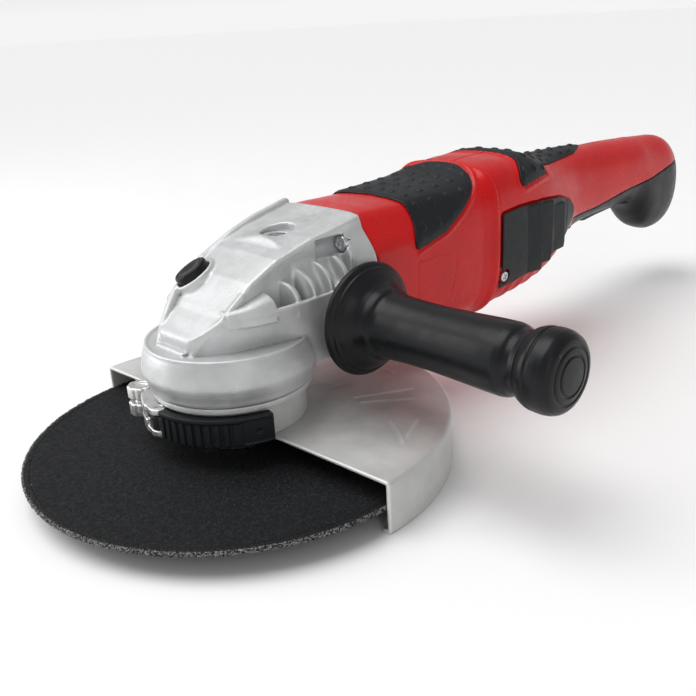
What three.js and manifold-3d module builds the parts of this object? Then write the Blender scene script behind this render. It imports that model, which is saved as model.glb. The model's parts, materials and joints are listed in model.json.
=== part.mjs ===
// Corded angle grinder for 230 mm cutting discs, millimetres, +Z up.
// Origin: centre of the spindle's threaded end face. The spindle runs along Z, the motor along Y
// (gear head towards -Y, rear handle towards +Y), and the side handle stands out along +X.
import * as THREE from 'three';
import { mergeVertices } from 'three/addons/utils/BufferGeometryUtils.js';
import { ParametricGeometry } from 'three/addons/geometries/ParametricGeometry.js';
import { ConvexGeometry } from 'three/addons/geometries/ConvexGeometry.js';
import Module from 'manifold-3d';

const wasm = await Module();
wasm.setup();

// ---------------------------------------------------------------- driving dimensions

const GAP = 0.3; // between two pieces that touch
const RUNNING = 0.08; // radial clearance of a shaft in its bearing
const FAR = 400; // reach of a cutting tool that only has to be long enough

const DISC_R = 115;
const DISC_LOW = 9.5;
const DISC_HIGH = 12.5;
const RIM_WIDTH = 4;
const RIM_PROUD = 0.2;
const ARBOR_R = 11.15;
const THREAD_R = 7;
const FLANGE_R = 21;
const SHOULDER_Z = 18.5;

const GUARD_R = 117.5;
const GUARD_SHEET = 1.6;
const GUARD_TOP = 26;
const GUARD_LOW = -1.5;
const COLLAR_R = 38.8;
const NECK_R = 36;
const NECK_LOW = 27;
const LEVER_INNER = 41.2;
const LEVER_OUTER = 47;
const LEVER_LOW = 27;
const LEVER_HIGH = 42.5;

const HOUSING_LOW = 46.8;
const COVER_FLANGE_LOW = 43.5;
const FLANGE_FRONT = 60;
const FLANGE_BACK = 71;

const MOTOR_Z = 81; // height of the armature axis
const SWIVEL_Z = 86; // height of the rear handle's swivel axis
const MOTOR_END = 181.7;
const REAR_START = 182;
const STATOR_R = 34;

const GEAR_TEETH = 42;
const PINION_TEETH = 11;
const GEAR_PITCH_R = 26.5;
const PINION_PITCH_R = (GEAR_PITCH_R * PINION_TEETH) / GEAR_TEETH;
const ADDENDUM = 1;
const DEDENDUM = 1.25;
const TOOTH_INNER = 20;
const TOOTH_OUTER = 27;

const HANDLE_Y = 51;
const HANDLE_Z = 76.5;
const BOSS_FACE = 50;
const BOSS_R = 17;
const STUD_R = 6.7;

const LOCK_SEAT = [-17.5, -5, 101];
const LOCK_AXIS = [-0.268, -0.4467, 0.8536];
const LOCK_TRAVEL = 4.5;
const LOCK_CAP_R = 9.6;

const COUNTERBORE_FLOOR = 116.5;
const TOP_BOSS_Y = 39;

// ---------------------------------------------------------------- finishes

const finish = (color, roughness, metalness) => ({ color, roughness, metalness });
const CAST_ALUMINIUM = finish(0xb9bbbe, 0.45, 0.85);
const RED_PLASTIC = finish(0xc8141c, 0.38, 0);
const SOFT_GRIP = finish(0x26282b, 0.8, 0);
const DARK_PLASTIC = finish(0x2c2f33, 0.6, 0);
const BLACK_PLASTIC = finish(0x17181a, 0.55, 0);
const STEEL = finish(0x9a9ca0, 0.35, 1);
const GUARD_STEEL = finish(0xb3b1ad, 0.4, 0.9);
const GEAR_STEEL = finish(0x6d6f73, 0.4, 1);
const ABRASIVE = finish(0x1b1c1e, 0.9, 0);
const GRIT = finish(0x55575a, 0.7, 0.3);
const COPPER = finish(0xb06a3a, 0.4, 1);
const CARBON = finish(0x303030, 0.7, 0.1);
const ZINC = finish(0xdcdcda, 0.4, 0.8);

// ---------------------------------------------------------------- solids

function manifoldOf(vertProperties, triVerts) {
  return new wasm.Manifold(new wasm.Mesh({ numProp: 3, vertProperties, triVerts }));
}

// A closed three.js geometry as a solid with its faces pointing out.
function solid(geometry) {
  const loose = geometry.index ? geometry.toNonIndexed() : geometry;
  const bare = new THREE.BufferGeometry();
  bare.setAttribute('position', loose.getAttribute('position'));
  const merged = mergeVertices(bare, 1e-3);
  const corners = merged.index.array;
  const kept = [];
  for (let i = 0; i < corners.length; i += 3) {
    const [a, b, c] = [corners[i], corners[i + 1], corners[i + 2]];
    if (a !== b && b !== c && c !== a) kept.push(a, b, c);
  }
  const places = merged.attributes.position.array;
  const made = manifoldOf(places, new Uint32Array(kept));
  if (made.volume() > 0) return made;
  return manifoldOf(places, new Uint32Array(kept.reverse()));
}

function geometryOf(body) {
  const { vertProperties, triVerts, numProp } = body.getMesh();
  const places = new Float32Array((vertProperties.length / numProp) * 3);
  for (let i = 0; i < places.length / 3; i += 1) {
    places.set(vertProperties.subarray(i * numProp, i * numProp + 3), i * 3);
  }
  const geometry = new THREE.BufferGeometry();
  geometry.setAttribute('position', new THREE.BufferAttribute(places, 3));
  geometry.setIndex(new THREE.BufferAttribute(new Uint32Array(triVerts), 1));
  return geometry;
}

const join = (...bodies) => bodies.reduce((all, next) => all.add(next));
const cut = (body, ...tools) => tools.reduce((left, tool) => left.subtract(tool), body);

const UNIT = {
  x: new THREE.Vector3(1, 0, 0),
  y: new THREE.Vector3(0, 1, 0),
  z: new THREE.Vector3(0, 0, 1),
};
// For each axis: where a shape's own first, second and height directions go.
const BASIS = {
  x: [UNIT.y, UNIT.z, UNIT.x],
  y: [UNIT.x, UNIT.z, UNIT.y],
  z: [UNIT.x, UNIT.y, UNIT.z],
};

// Stands a geometry whose height is its own Z along an axis, centred on the other two.
function along(axis, geometry, [first, second] = [0, 0]) {
  geometry.translate(first, second, 0);
  return solid(geometry.applyMatrix4(new THREE.Matrix4().makeBasis(...BASIS[axis])));
}

function rod(axis, radius, from, to, centre, sides = 12) {
  const geometry = new THREE.CylinderGeometry(radius, radius, to - from, sides);
  geometry.rotateX(Math.PI / 2).translate(0, 0, (from + to) / 2);
  return along(axis, geometry, centre);
}

// A profile of [radius, height] points turned round an axis. One that stays off the axis is a ring.
function turned(axis, profile, centre, sides = 16) {
  const points = profile.map(([radius, height]) => new THREE.Vector2(radius, height));
  if (profile[0][0] > 0) points.push(points[0].clone());
  return along(axis, new THREE.LatheGeometry(points, sides).rotateX(Math.PI / 2), centre);
}

function ring(axis, inner, outer, from, to, centre, sides = 16) {
  return turned(axis, [[inner, from], [outer, from], [outer, to], [inner, to]], centre, sides);
}

function prism(axis, outline, from, to) {
  const shape = new THREE.Shape(outline.map(([a, b]) => new THREE.Vector2(a, b)));
  const geometry = new THREE.ExtrudeGeometry(shape, { depth: to - from, bevelEnabled: false });
  return along(axis, geometry.translate(0, 0, from));
}

function block([x0, x1], [y0, y1], [z0, z1]) {
  const geometry = new THREE.BoxGeometry(x1 - x0, y1 - y0, z1 - z0);
  return solid(geometry.translate((x0 + x1) / 2, (y0 + y1) / 2, (z0 + z1) / 2));
}

const mirroredX = (outline) => [
  ...outline,
  ...outline.toReversed().map(([x, y]) => [-x, y]),
];

const bothSides = (make) => join(make(1), make(-1));
const span = (a, b) => [Math.min(a, b), Math.max(a, b)];

// A body along Y whose sections are rounded boxes: [y, half width, low z, high z].
function loft(stations, { grow = 0, roundness = 2.5, sides = 16 } = {}) {
  const rows = stations.length + 1;
  const power = 2 / roundness;
  const spread = (value) => Math.sign(value) * Math.abs(value) ** power;
  const place = (u, v, target) => {
    const row = Math.round(v * rows);
    const [y, half, low, high] = stations[THREE.MathUtils.clamp(row - 1, 0, rows - 2)];
    const open = row > 0 && row < rows ? 1 : 0;
    const angle = 2 * Math.PI * (u % 1);
    const x = open * (half + grow) * spread(Math.cos(angle));
    const rise = open * ((high - low) / 2 + grow) * spread(Math.sin(angle));
    target.set(x, y, (low + high) / 2 + rise);
  };
  return solid(new ParametricGeometry(place, sides, rows));
}

// ---------------------------------------------------------------- the scene graph

const grinder = new THREE.Group();

function group(parent, position = [0, 0, 0]) {
  const made = new THREE.Group();
  made.position.set(...position);
  parent.add(made);
  return made;
}

function add(parent, name, body, look) {
  const mesh = new THREE.Mesh(geometryOf(body), new THREE.MeshStandardMaterial(look));
  mesh.name = name;
  parent.add(mesh);
  return mesh;
}

// ---------------------------------------------------------------- gear head

const LOCK_FRAME = new THREE.Matrix4().compose(
  new THREE.Vector3(...LOCK_SEAT),
  new THREE.Quaternion().setFromUnitVectors(UNIT.z, new THREE.Vector3(...LOCK_AXIS).normalize()),
  new THREE.Vector3(1, 1, 1),
);
const inLockFrame = (geometry) => solid(geometry.applyMatrix4(LOCK_FRAME));

function lockBore() {
  const hole = (radius, low, high) => {
    const geometry = new THREE.CylinderGeometry(radius, radius, high - low, 20);
    return inLockFrame(geometry.rotateX(Math.PI / 2).translate(0, 0, (low + high) / 2));
  };
  const capRecess = hole(LOCK_CAP_R + 0.5, -LOCK_TRAVEL - 1, 20);
  const springPocket = hole(5.3, -16, 0);
  const stemHole = hole(3, -34, 0);
  return join(capRecess, springPocket, stemHole);
}

const SCREW_PLACES = [[30, 112], [34, 54], [-34, 54], [-30, 112]];
const SCREW_HEAD_R = 4.2;
const SCREW_HEAD_FRONT = 56;
const SCREW_SHANK_R = 2.4;
const SCREW_TIP = 84;

const HEAD_FLANGE = [
  [FLANGE_FRONT, 43.5, 47.5, 125.5],
  [FLANGE_BACK, 44.3, 46, 126],
];

function headOutside() {
  const base = turned('z', [
    [0, HOUSING_LOW], [43.2, HOUSING_LOW], [44.2, 48.3], [44.8, 50.5], [46.8, 54.5],
    [47.3, 58], [46, 64], [44.4, 70], [43.2, 71.4], [0, 71.4],
  ], [0, 0], 32);
  const sideView = [
    [-32.5, 60], [-32, 72], [-29, 79], [-17, 91], [-3, 103.5],
    [15, 111.5], [38, 118.5], [70, 125.5], [70, 60],
  ];
  const topView = [[18, -33], [24, -20], [29, -5], [33, 20], [36, 45], [38, 70]];
  const frontView = [[46, 55], [40, 84], [31, 118], [27, 130]];
  const hood = prism('x', sideView, -50, 50)
    .intersect(prism('z', mirroredX(topView), 55, 135))
    .intersect(prism('y', mirroredX(frontView), -60, 80));
  const shelfPlan = [[19, -31], [34, -20], [43, 0], [43.5, FLANGE_FRONT + 1]];
  const shelf = prism('z', mirroredX(shelfPlan), 60, 93.5);
  const neck = rod('y', 37.5, 25, FLANGE_FRONT + 1, [0, MOTOR_Z], 24);
  const flange = loft(HEAD_FLANGE, { roundness: 5 });
  const boss = (side) =>
    rod('x', BOSS_R, ...span(side * 20, side * BOSS_FACE), [HANDLE_Y, HANDLE_Z]);
  return join(base, hood, shelf, neck, flange, bothSides(boss), ...coolingFins());
}

function coolingFins() {
  const tops = [[-1, 102], [11, 107], [22, 110], [33, 113], [44, 114]];
  const thickness = 3;
  const fin = (side, y, top) => {
    const outline = [[26, 90], [42.5, 90], [42.5, 94], [34, top], [26, top]];
    const placed = outline.map(([x, z]) => [side * x, z]);
    return prism('y', placed, y, y + thickness);
  };
  return tops.flatMap(([y, top]) => [fin(1, y, top), fin(-1, y, top)]);
}

function headInside() {
  const gearRoom = rod('z', 28.3, 54, 77, [0, 0], 24);
  const mouth = rod('z', 33.8, 40, 55, [0, 0], 24);
  const coverRoom = rod('z', 43.8, 30, HOUSING_LOW, [0, 0], 32);
  const hubRoom = rod('z', 15.6, 76, 84);
  const needlePocket = rod('z', 8.5 + RUNNING, 83, 98.4, [0, 0], 24);
  const pinionRoom = block([-24, 24], [10, 34], [66, 106]);
  const pinionDoor = rod('y', 9.8, 20, 40, [0, MOTOR_Z]);
  const bearingPocket = rod('y', 16 + RUNNING, 37, 52, [0, MOTOR_Z], 24);
  const fanRoom = rod('y', 34, 50, 80, [0, MOTOR_Z], 24);
  const roofPocket = block([-26, 26], [54, 80], [100, 116]);
  const topThread = rod('z', THREAD_R, 101, 130, [0, TOP_BOSS_Y]);
  const topRecess = rod('z', 9.7, COUNTERBORE_FLOOR, 140, [0, TOP_BOSS_Y]);
  const sideThread = (side) =>
    rod('x', THREAD_R, ...span(side * 36, side * 60), [HANDLE_Y, HANDLE_Z]);
  const screwHoles = SCREW_PLACES.map((place) =>
    join(
      rod('y', SCREW_SHANK_R + GAP, 50, 80, place, 8),
      rod('y', SCREW_HEAD_R + 0.6, 40, FLANGE_FRONT + GAP, place),
    ));
  return join(
    gearRoom, mouth, coverRoom, hubRoom, needlePocket, pinionRoom, pinionDoor, bearingPocket, fanRoom,
    roofPocket, topThread, topRecess, bothSides(sideThread), ...screwHoles, lockBore(),
  );
}

const head = group(grinder);
add(head, 'gear_housing', headOutside().subtract(headInside()), CAST_ALUMINIUM);

SCREW_PLACES.forEach((place, i) => {
  const screwHead = rod('y', SCREW_HEAD_R, SCREW_HEAD_FRONT, FLANGE_FRONT, place);
  const shank = rod('y', SCREW_SHANK_R, FLANGE_FRONT - 1, SCREW_TIP, place, 8);
  add(head, `gear_housing_screw_${i + 1}`, join(screwHead, shank), STEEL);
});

const LOWER_BEARING = { inner: 8.5, outer: 20, low: 40, high: 52 };

add(head, 'bearing_cover', turned('z', [
  [13, NECK_LOW], [NECK_R - 0.5, NECK_LOW], [NECK_R, NECK_LOW + 0.5],
  [NECK_R, COVER_FLANGE_LOW], [43, COVER_FLANGE_LOW], [43, HOUSING_LOW - GAP],
  [33, HOUSING_LOW - GAP], [33, 53.5], [23, 53.5], [23, LOWER_BEARING.high + 0.4],
  [LOWER_BEARING.outer + RUNNING, LOWER_BEARING.high + 0.4],
  [LOWER_BEARING.outer + RUNNING, LOWER_BEARING.low - 0.1], [13, LOWER_BEARING.low - 0.1],
], [0, 0], 24), CAST_ALUMINIUM);

// A deep-groove bearing as it comes off the bench: one sealed cartridge.
function bearing(axis, { inner, outer, low, high }) {
  return ring(axis, inner + RUNNING, outer, low, high, [0, 0], 24);
}

add(head, 'spindle_bearing', bearing('z', LOWER_BEARING), STEEL);
add(head, 'spindle_needle_bearing', ring('z', 5 + RUNNING, 8.5, 86, 98, [0, 0], 24), STEEL);

// ---------------------------------------------------------------- spindle and disc

const SLOPE = PINION_PITCH_R / GEAR_PITCH_R; // of the gear's pitch cone
const tipHeight = (r) => MOTOR_Z - r * SLOPE + (ADDENDUM * r) / GEAR_PITCH_R;
const rootHeight = (r) => MOTOR_Z - r * SLOPE - (DEDENDUM * r) / GEAR_PITCH_R;

// One straight bevel tooth: sections at two distances from the crossing point of the axes.
function tooth(section) {
  const corners = [TOOTH_INNER, TOOTH_OUTER].flatMap((distance) => section(distance));
  return new ConvexGeometry(corners);
}

function crownGear() {
  const body = turned('z', [
    [8.5 + GAP, 60], [14.5, 60], [14.5, 63], [TOOTH_OUTER, 64],
    [TOOTH_OUTER, rootHeight(TOOTH_OUTER)], [TOOTH_INNER, rootHeight(TOOTH_INNER)],
    [14.5, rootHeight(TOOTH_INNER)], [14.5, 79.5], [8.5 + GAP, 79.5],
  ]);
  const section = (r) => {
    const scale = r / GEAR_PITCH_R;
    return [[0.85, rootHeight(r) - 1], [0.45, tipHeight(r)]].flatMap(([half, z]) => [
      new THREE.Vector3(r, half * scale, z),
      new THREE.Vector3(r, -half * scale, z),
    ]);
  };
  const teeth = Array.from({ length: GEAR_TEETH }, (_, i) => {
    const turn = Math.PI / 2 + ((i + 0.5) * 2 * Math.PI) / GEAR_TEETH;
    return solid(tooth(section).rotateZ(turn));
  });
  const pressedTip = Math.atan2(7.28, -10.13); // where the lock pin comes down
  const notch = { length: 10, width: 8.8, height: 9, inner: 9.4, floor: 74.6 };
  const notches = [0, 1, 2, 3].map((quarter) => {
    const slot = new THREE.BoxGeometry(notch.length, notch.width, notch.height);
    slot.translate(notch.inner + notch.length / 2, 0, notch.floor + notch.height / 2);
    return solid(slot.rotateZ(pressedTip + (quarter * Math.PI) / 2));
  });
  return cut(join(body, ...teeth), ...notches);
}

const spindleGroup = group(grinder);
add(spindleGroup, 'spindle', turned('z', [
  [0, 0], [THREAD_R - 0.6, 0], [THREAD_R, 0.6], [THREAD_R, SHOULDER_Z - 0.2],
  [12, SHOULDER_Z - 0.2], [12, 26], [8.5, 28], [8.5, 80.5], [5, 82.5], [5, 97], [0, 97],
], [0, 0], 24), GEAR_STEEL);
add(spindleGroup, 'crown_gear', crownGear(), GEAR_STEEL);
add(spindleGroup, 'disc_flange', turned('z', [
  [THREAD_R + GAP, DISC_LOW + 0.7], [ARBOR_R - 0.2, DISC_LOW + 0.7],
  [ARBOR_R - 0.2, DISC_HIGH + 0.1], [FLANGE_R, DISC_HIGH + 0.1], [FLANGE_R, 15.8],
  [FLANGE_R - 3, SHOULDER_Z - 0.5], [THREAD_R + GAP, SHOULDER_Z - 0.5],
]), STEEL);
add(spindleGroup, 'disc_core', ring(
  'z', ARBOR_R, DISC_R - RIM_WIDTH - 0.1, DISC_LOW, DISC_HIGH, [0, 0], 48,
), ABRASIVE);
add(spindleGroup, 'disc_rim', ring(
  'z', DISC_R - RIM_WIDTH, DISC_R, DISC_LOW - RIM_PROUD, DISC_HIGH + RIM_PROUD, [0, 0], 48,
), GRIT);

function clampNut() {
  const body = turned('z', [
    [THREAD_R + GAP, 3], [17, 3], [20, 4.6], [20, DISC_LOW - 0.1],
    [THREAD_R + GAP, DISC_LOW - 0.1],
  ]);
  const pinHoles = [0, 1, 2, 3].map((quarter) => {
    const angle = (quarter * Math.PI) / 2;
    return rod('z', 2.4, 0, 7, [15 * Math.cos(angle), 15 * Math.sin(angle)], 8);
  });
  return cut(body, ...pinHoles);
}
add(spindleGroup, 'clamp_nut', clampNut(), STEEL);

// ---------------------------------------------------------------- spindle lock

function lockButton() {
  const profile = [
    [0, -23], [2.6, -23], [2.6, -0.5], [LOCK_CAP_R, -0.5], [LOCK_CAP_R, 4.3],
    [LOCK_CAP_R - 1.2, 5.5], [0, 5.5],
  ].map(([radius, height]) => new THREE.Vector2(radius, height));
  return inLockFrame(new THREE.LatheGeometry(profile, 20).rotateX(Math.PI / 2));
}

function lockSpring() {
  const coils = 4;
  const pitch = 14 / coils;
  const profile = [];
  for (let i = 0; i < coils; i += 1) {
    const low = -15.2 + i * pitch;
    profile.push([4.9, low], [4.9, low + pitch / 2], [4.1, low + pitch / 2], [4.1, low + pitch]);
  }
  profile.push([3.1, profile.at(-1)[1]], [3.1, -15.2], [4.9, -15.2]);
  const points = profile.map(([radius, height]) => new THREE.Vector2(radius, height));
  return inLockFrame(new THREE.LatheGeometry(points, 10).rotateX(Math.PI / 2));
}

add(head, 'spindle_lock_button', lockButton(), BLACK_PLASTIC);
add(head, 'spindle_lock_spring', lockSpring(), STEEL);

// ---------------------------------------------------------------- disc guard

const onCircle = (radius, degrees) => {
  const angle = THREE.MathUtils.degToRad(degrees);
  return [radius * Math.sin(angle), -radius * Math.cos(angle)];
};

// The outline between two radii over a range of degrees counted from -Y towards +X.
function arcBand(inner, outer, from, to, steps = 12) {
  const degrees = Array.from({ length: steps + 1 }, (_, i) => from + ((to - from) * i) / steps);
  return [
    ...degrees.map((angle) => onCircle(outer, angle)),
    ...degrees.toReversed().map((angle) => onCircle(inner, angle)),
  ];
}

const guard = group(grinder);

function guardPlate() {
  const top = GUARD_TOP;
  const sheet = turned('z', [
    [COLLAR_R - 2.2, top - GUARD_SHEET], [GUARD_R - 4, top - GUARD_SHEET],
    [GUARD_R - GUARD_SHEET, top - 4], [GUARD_R - GUARD_SHEET, GUARD_LOW + GUARD_SHEET],
    [GUARD_R - 4, GUARD_LOW + GUARD_SHEET], [GUARD_R - 4, GUARD_LOW], [GUARD_R, GUARD_LOW],
    [GUARD_R, top - 4], [GUARD_R - 1.2, top - 1.2], [GUARD_R - 4, top],
    [COLLAR_R - 2.2, top],
  ], [0, 0], 48);
  const openFront = [[-FAR, -FAR], [FAR, -FAR], [FAR, 9], [-FAR, -25]];
  return sheet.subtract(prism('z', openFront, -50, 50));
}
add(guard, 'guard_plate', guardPlate(), GUARD_STEEL);

function guardCollar() {
  const band = ring('z', NECK_R + 0.6, COLLAR_R, GUARD_TOP + 0.1, 42, [0, 0], 32);
  const opening = prism('z', arcBand(20, 60, -32, -18, 2), 20, 60);
  return band.subtract(opening);
}
add(guard, 'guard_collar', guardCollar(), GUARD_STEEL);

const PIN_AT = onCircle(44.5, -7);
const PIN_R = 1.8;
const KNOB_AT = onCircle(51.5, -47);

function clampBlock() {
  const body = prism('z', arcBand(COLLAR_R + GAP, 49.5, -42, -15, 6), LEVER_LOW, LEVER_HIGH);
  const ear = (low, high) => {
    const arm = prism('z', arcBand(COLLAR_R + 0.6, 49, -16, -8, 3), low, high);
    return arm.add(rod('z', 4.4, low, high, PIN_AT, 24));
  };
  const ears = join(ear(LEVER_LOW, 30.5), ear(39, LEVER_HIGH));
  const knobRoom = rod('z', 8.2, 20, 34.3, KNOB_AT).add(rod('z', 8.2, 35.7, 60, KNOB_AT));
  return cut(
    body.add(ears),
    knobRoom,
    rod('z', 4 + GAP, 20, 60, KNOB_AT),
    rod('z', PIN_R + 0.1, 20, 60, PIN_AT, 16),
  );
}
add(guard, 'guard_clamp_block', clampBlock(), ZINC);
add(guard, 'guard_lever_pin', rod('z', PIN_R, LEVER_LOW + 0.2, LEVER_HIGH - 0.2, PIN_AT, 16), STEEL);

function tensionKnob() {
  const flutes = 9;
  const outline = Array.from({ length: 2 * flutes }, (_, i) => {
    const radius = i % 2 ? 6 : 7.6;
    const angle = (i * Math.PI) / flutes;
    return [KNOB_AT[0] + radius * Math.cos(angle), KNOB_AT[1] + radius * Math.sin(angle)];
  });
  const stem = rod('z', 4, 30, 40, KNOB_AT);
  return join(prism('z', outline, 26.5, 34), stem, prism('z', outline, 36, 43.2));
}
add(guard, 'guard_tension_knob', tensionKnob(), ZINC);

function clampLever() {
  const eye = rod('z', 4.3, 31, 38.5, PIN_AT, 24);
  const neck = prism('z', arcBand(42.4, 46.6, -6, 2, 3), 31, 38.5);
  const handle = prism('z', arcBand(LEVER_INNER, LEVER_OUTER, 0, 78, 16), LEVER_LOW, LEVER_HIGH);
  return join(eye, neck, handle).subtract(rod('z', PIN_R + 0.25, 20, 60, PIN_AT, 16));
}
add(guard, 'guard_clamp_lever', clampLever(), DARK_PLASTIC);

// ---------------------------------------------------------------- side handle

const sideHandle = group(grinder, [0, HANDLE_Y, HANDLE_Z]);
const GRIP_END = 156.5;

add(sideHandle, 'side_handle_stud', rod('x', STUD_R, 37, 64, [0, 0]), STEEL);
add(sideHandle, 'side_handle_grip', turned('x', [
  [STUD_R + GAP, BOSS_FACE + GAP], [15, BOSS_FACE + GAP], [22, 51], [29, 51.8], [30.4, 53.4],
  [30.2, 55.5], [27.5, 58.5], [23, 62], [19.8, 67], [17.4, 75], [16.4, 90], [16.8, 115],
  [17.6, 138], [17.4, 147], [15.8, 150], [15.6, 153.5], [16.4, GRIP_END], [11, GRIP_END],
  [11, 70], [STUD_R + GAP, 66],
]), DARK_PLASTIC);
add(sideHandle, 'side_handle_end_cap', turned('x', [
  [0, GRIP_END + GAP], [17.2, GRIP_END + GAP], [19, 159], [19.6, 162], [19.6, 169],
  [18.6, 173], [16.5, 175.5], [0, 177],
]), BLACK_PLASTIC);

// ---------------------------------------------------------------- motor

const motor = group(grinder, [0, 0, MOTOR_Z]);
const FRONT_BEARING = { inner: 6, outer: 16, low: 37.5, high: 47.5 };
const REAR_BEARING = { inner: 4, outer: 11, low: 160, high: 167 };

const MOTOR_SKIN = [
  [FLANGE_BACK + GAP, 44, 44, 126],
  [85, 43.6, 40.5, 126.6],
  [120, 42.6, 38, 127.4],
  [150, 42.2, 38, 129],
  [165, 42, 38, 131],
  [MOTOR_END, 42, 38, 134.5],
];
const MOTOR_ROUNDNESS = 3.6;
const MOTOR_WALL = 2.8;

function motorHousing() {
  const skin = loft(MOTOR_SKIN, { roundness: MOTOR_ROUNDNESS });
  const hollow = loft(MOTOR_SKIN, { grow: -MOTOR_WALL, roundness: MOTOR_ROUNDNESS });
  const filling = loft(MOTOR_SKIN, { grow: -1, roundness: MOTOR_ROUNDNESS });
  const room = hollow.intersect(block([-60, 60], [76, 156], [0, 200]));
  const bulkhead = (from, to) => filling.intersect(block([-60, 60], [from, to], [0, 200]));
  const ribs = join(bulkhead(98, 101), bulkhead(118, 121));
  const tail = join(
    rod('y', 35, MOTOR_END - 1, 191, [0, SWIVEL_Z], 32),
    rod('y', 37.5, 188.5, 191, [0, SWIVEL_Z], 32),
  );
  const windows = [45, 135, 225, 315].map((degrees) => {
    const angle = THREE.MathUtils.degToRad(degrees);
    return rod('y', 8.5, 150, 175, [23 * Math.cos(angle), MOTOR_Z + 23 * Math.sin(angle)], 12);
  });
  const screwHoles = SCREW_PLACES.map((place) => rod('y', SCREW_SHANK_R + 0.2, 60, 86, place, 8));
  const bosses = SCREW_PLACES.map((place) => rod('y', 5, 73, 87, place, 8).intersect(filling));
  return cut(
    join(skin.subtract(room), ribs, tail, ...bosses),
    rod('y', STATOR_R + 0.5, 60, 157, [0, MOTOR_Z], 24),
    rod('y', REAR_BEARING.outer + RUNNING, 150, 168, [0, MOTOR_Z], 24),
    rod('y', 32, 170.5, 200, [0, SWIVEL_Z], 24),
    ...windows,
    ...screwHoles,
  );
}
add(grinder, 'motor_housing', motorHousing(), RED_PLASTIC);

// A thin skin just above a lofted body, kept where the outline prism reaches.
function overlay(stations, roundness, outlinePrism, thickness) {
  const outer = loft(stations, { grow: GAP + thickness, roundness });
  return outer.subtract(loft(stations, { grow: GAP, roundness })).intersect(outlinePrism);
}

const saddleSide = [
  [110, 140], [106.5, 120], [103, 101], [115, 101], [131, 104.5], [146, 112], [159, 120],
  [167, 125.5], [177.5, 132], [177.5, 140],
];
const motorPad = overlay(MOTOR_SKIN, MOTOR_ROUNDNESS, prism('x', saddleSide, -60, 60), 1.4);
add(grinder, 'motor_soft_grip', motorPad, SOFT_GRIP);

function stator() {
  const core = ring('y', 21.5, STATOR_R, 90, 128, [0, 0], 24);
  const window = (side) => block(span(side * 18, side * 30.6), [80, 140], [-12.5, 12.5]);
  return cut(core, window(1), window(-1));
}
add(motor, 'stator_core', stator(), GEAR_STEEL);

function fieldCoil(side) {
  const arch = ring('y', 23.6, 31, 84, 89.6, [0, 0]).add(
    ring('y', 23.6, 31, 128.4, 134, [0, 0]),
  );
  const half = arch.intersect(block([-40, 40], [80, 140], span(side * 3, side * 40)));
  const leg = (x) => block(span(x * 23.8, x * 30.2), [85, 133], span(side * 3.2, side * 12));
  return join(half, leg(1), leg(-1));
}
add(motor, 'field_coil_upper', fieldCoil(1), COPPER);
add(motor, 'field_coil_lower', fieldCoil(-1), COPPER);

const CORE_R = 20.6;
const SLOTS = 12;
function armatureCore() {
  const slots = Array.from({ length: SLOTS }, (_, i) => {
    const slot = new THREE.BoxGeometry(6, 60, 2).translate(CORE_R - 2, 109, 0);
    return solid(slot.rotateY((i * 2 * Math.PI) / SLOTS));
  });
  return cut(ring('y', 6.5 + GAP, CORE_R, 91, 127, [0, 0], 36), ...slots);
}
add(motor, 'armature_shaft', turned('y', [
  [0, 27.5], [4, 27.5], [4, 36.5], [6, 37], [6, 88], [6.5, 88.5], [6.5, 134], [6, 134.5],
  [6, 157], [4, 158], [4, 168], [0, 168],
], [0, 0], 20), STEEL);
add(motor, 'armature_core', armatureCore(), GEAR_STEEL);
add(motor, 'armature_winding_front', turned('y', [
  [6.5 + GAP, 80], [14, 80], [18, 83], [18.5, 90.7], [6.5 + GAP, 90.7],
]), COPPER);
add(motor, 'armature_winding_rear', turned('y', [
  [6.5 + GAP, 127.3], [18.5, 127.3], [17, 135], [13, 138], [6.5 + GAP, 138],
]), COPPER);
add(motor, 'commutator', ring('y', 6.5 + GAP, 13, 139, 154, [0, 0], 24), COPPER);

function coolingFan() {
  const blades = Array.from({ length: 7 }, (_, i) => {
    const blade = new THREE.BoxGeometry(21, 9, 1.6).rotateY(0.35).translate(19.5, 64, 0);
    return solid(blade.rotateY((i * 2 * Math.PI) / 7));
  });
  const plate = ring('y', 6 + GAP, 32, 57.5, 60, [0, 0], 24);
  const hub = ring('y', 6 + GAP, 12, 55, 69.5, [0, 0], 20);
  const room = rod('y', 32.2, 50, 80, [0, 0], 24);
  return join(plate, hub, ...blades).intersect(room).subtract(rod('y', 6 + GAP, 40, 80, [0, 0]));
}
add(motor, 'cooling_fan', coolingFan(), BLACK_PLASTIC);
add(motor, 'air_baffle', turned('y', [
  [25, 73], [STATOR_R, 73], [STATOR_R, 75.5], [29, 75.5], [26, 78], [25, 78],
]), DARK_PLASTIC);
add(motor, 'motor_bearing_front', bearing('y', FRONT_BEARING), STEEL);
add(motor, 'motor_bearing_rear', bearing('y', REAR_BEARING), STEEL);

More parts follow.
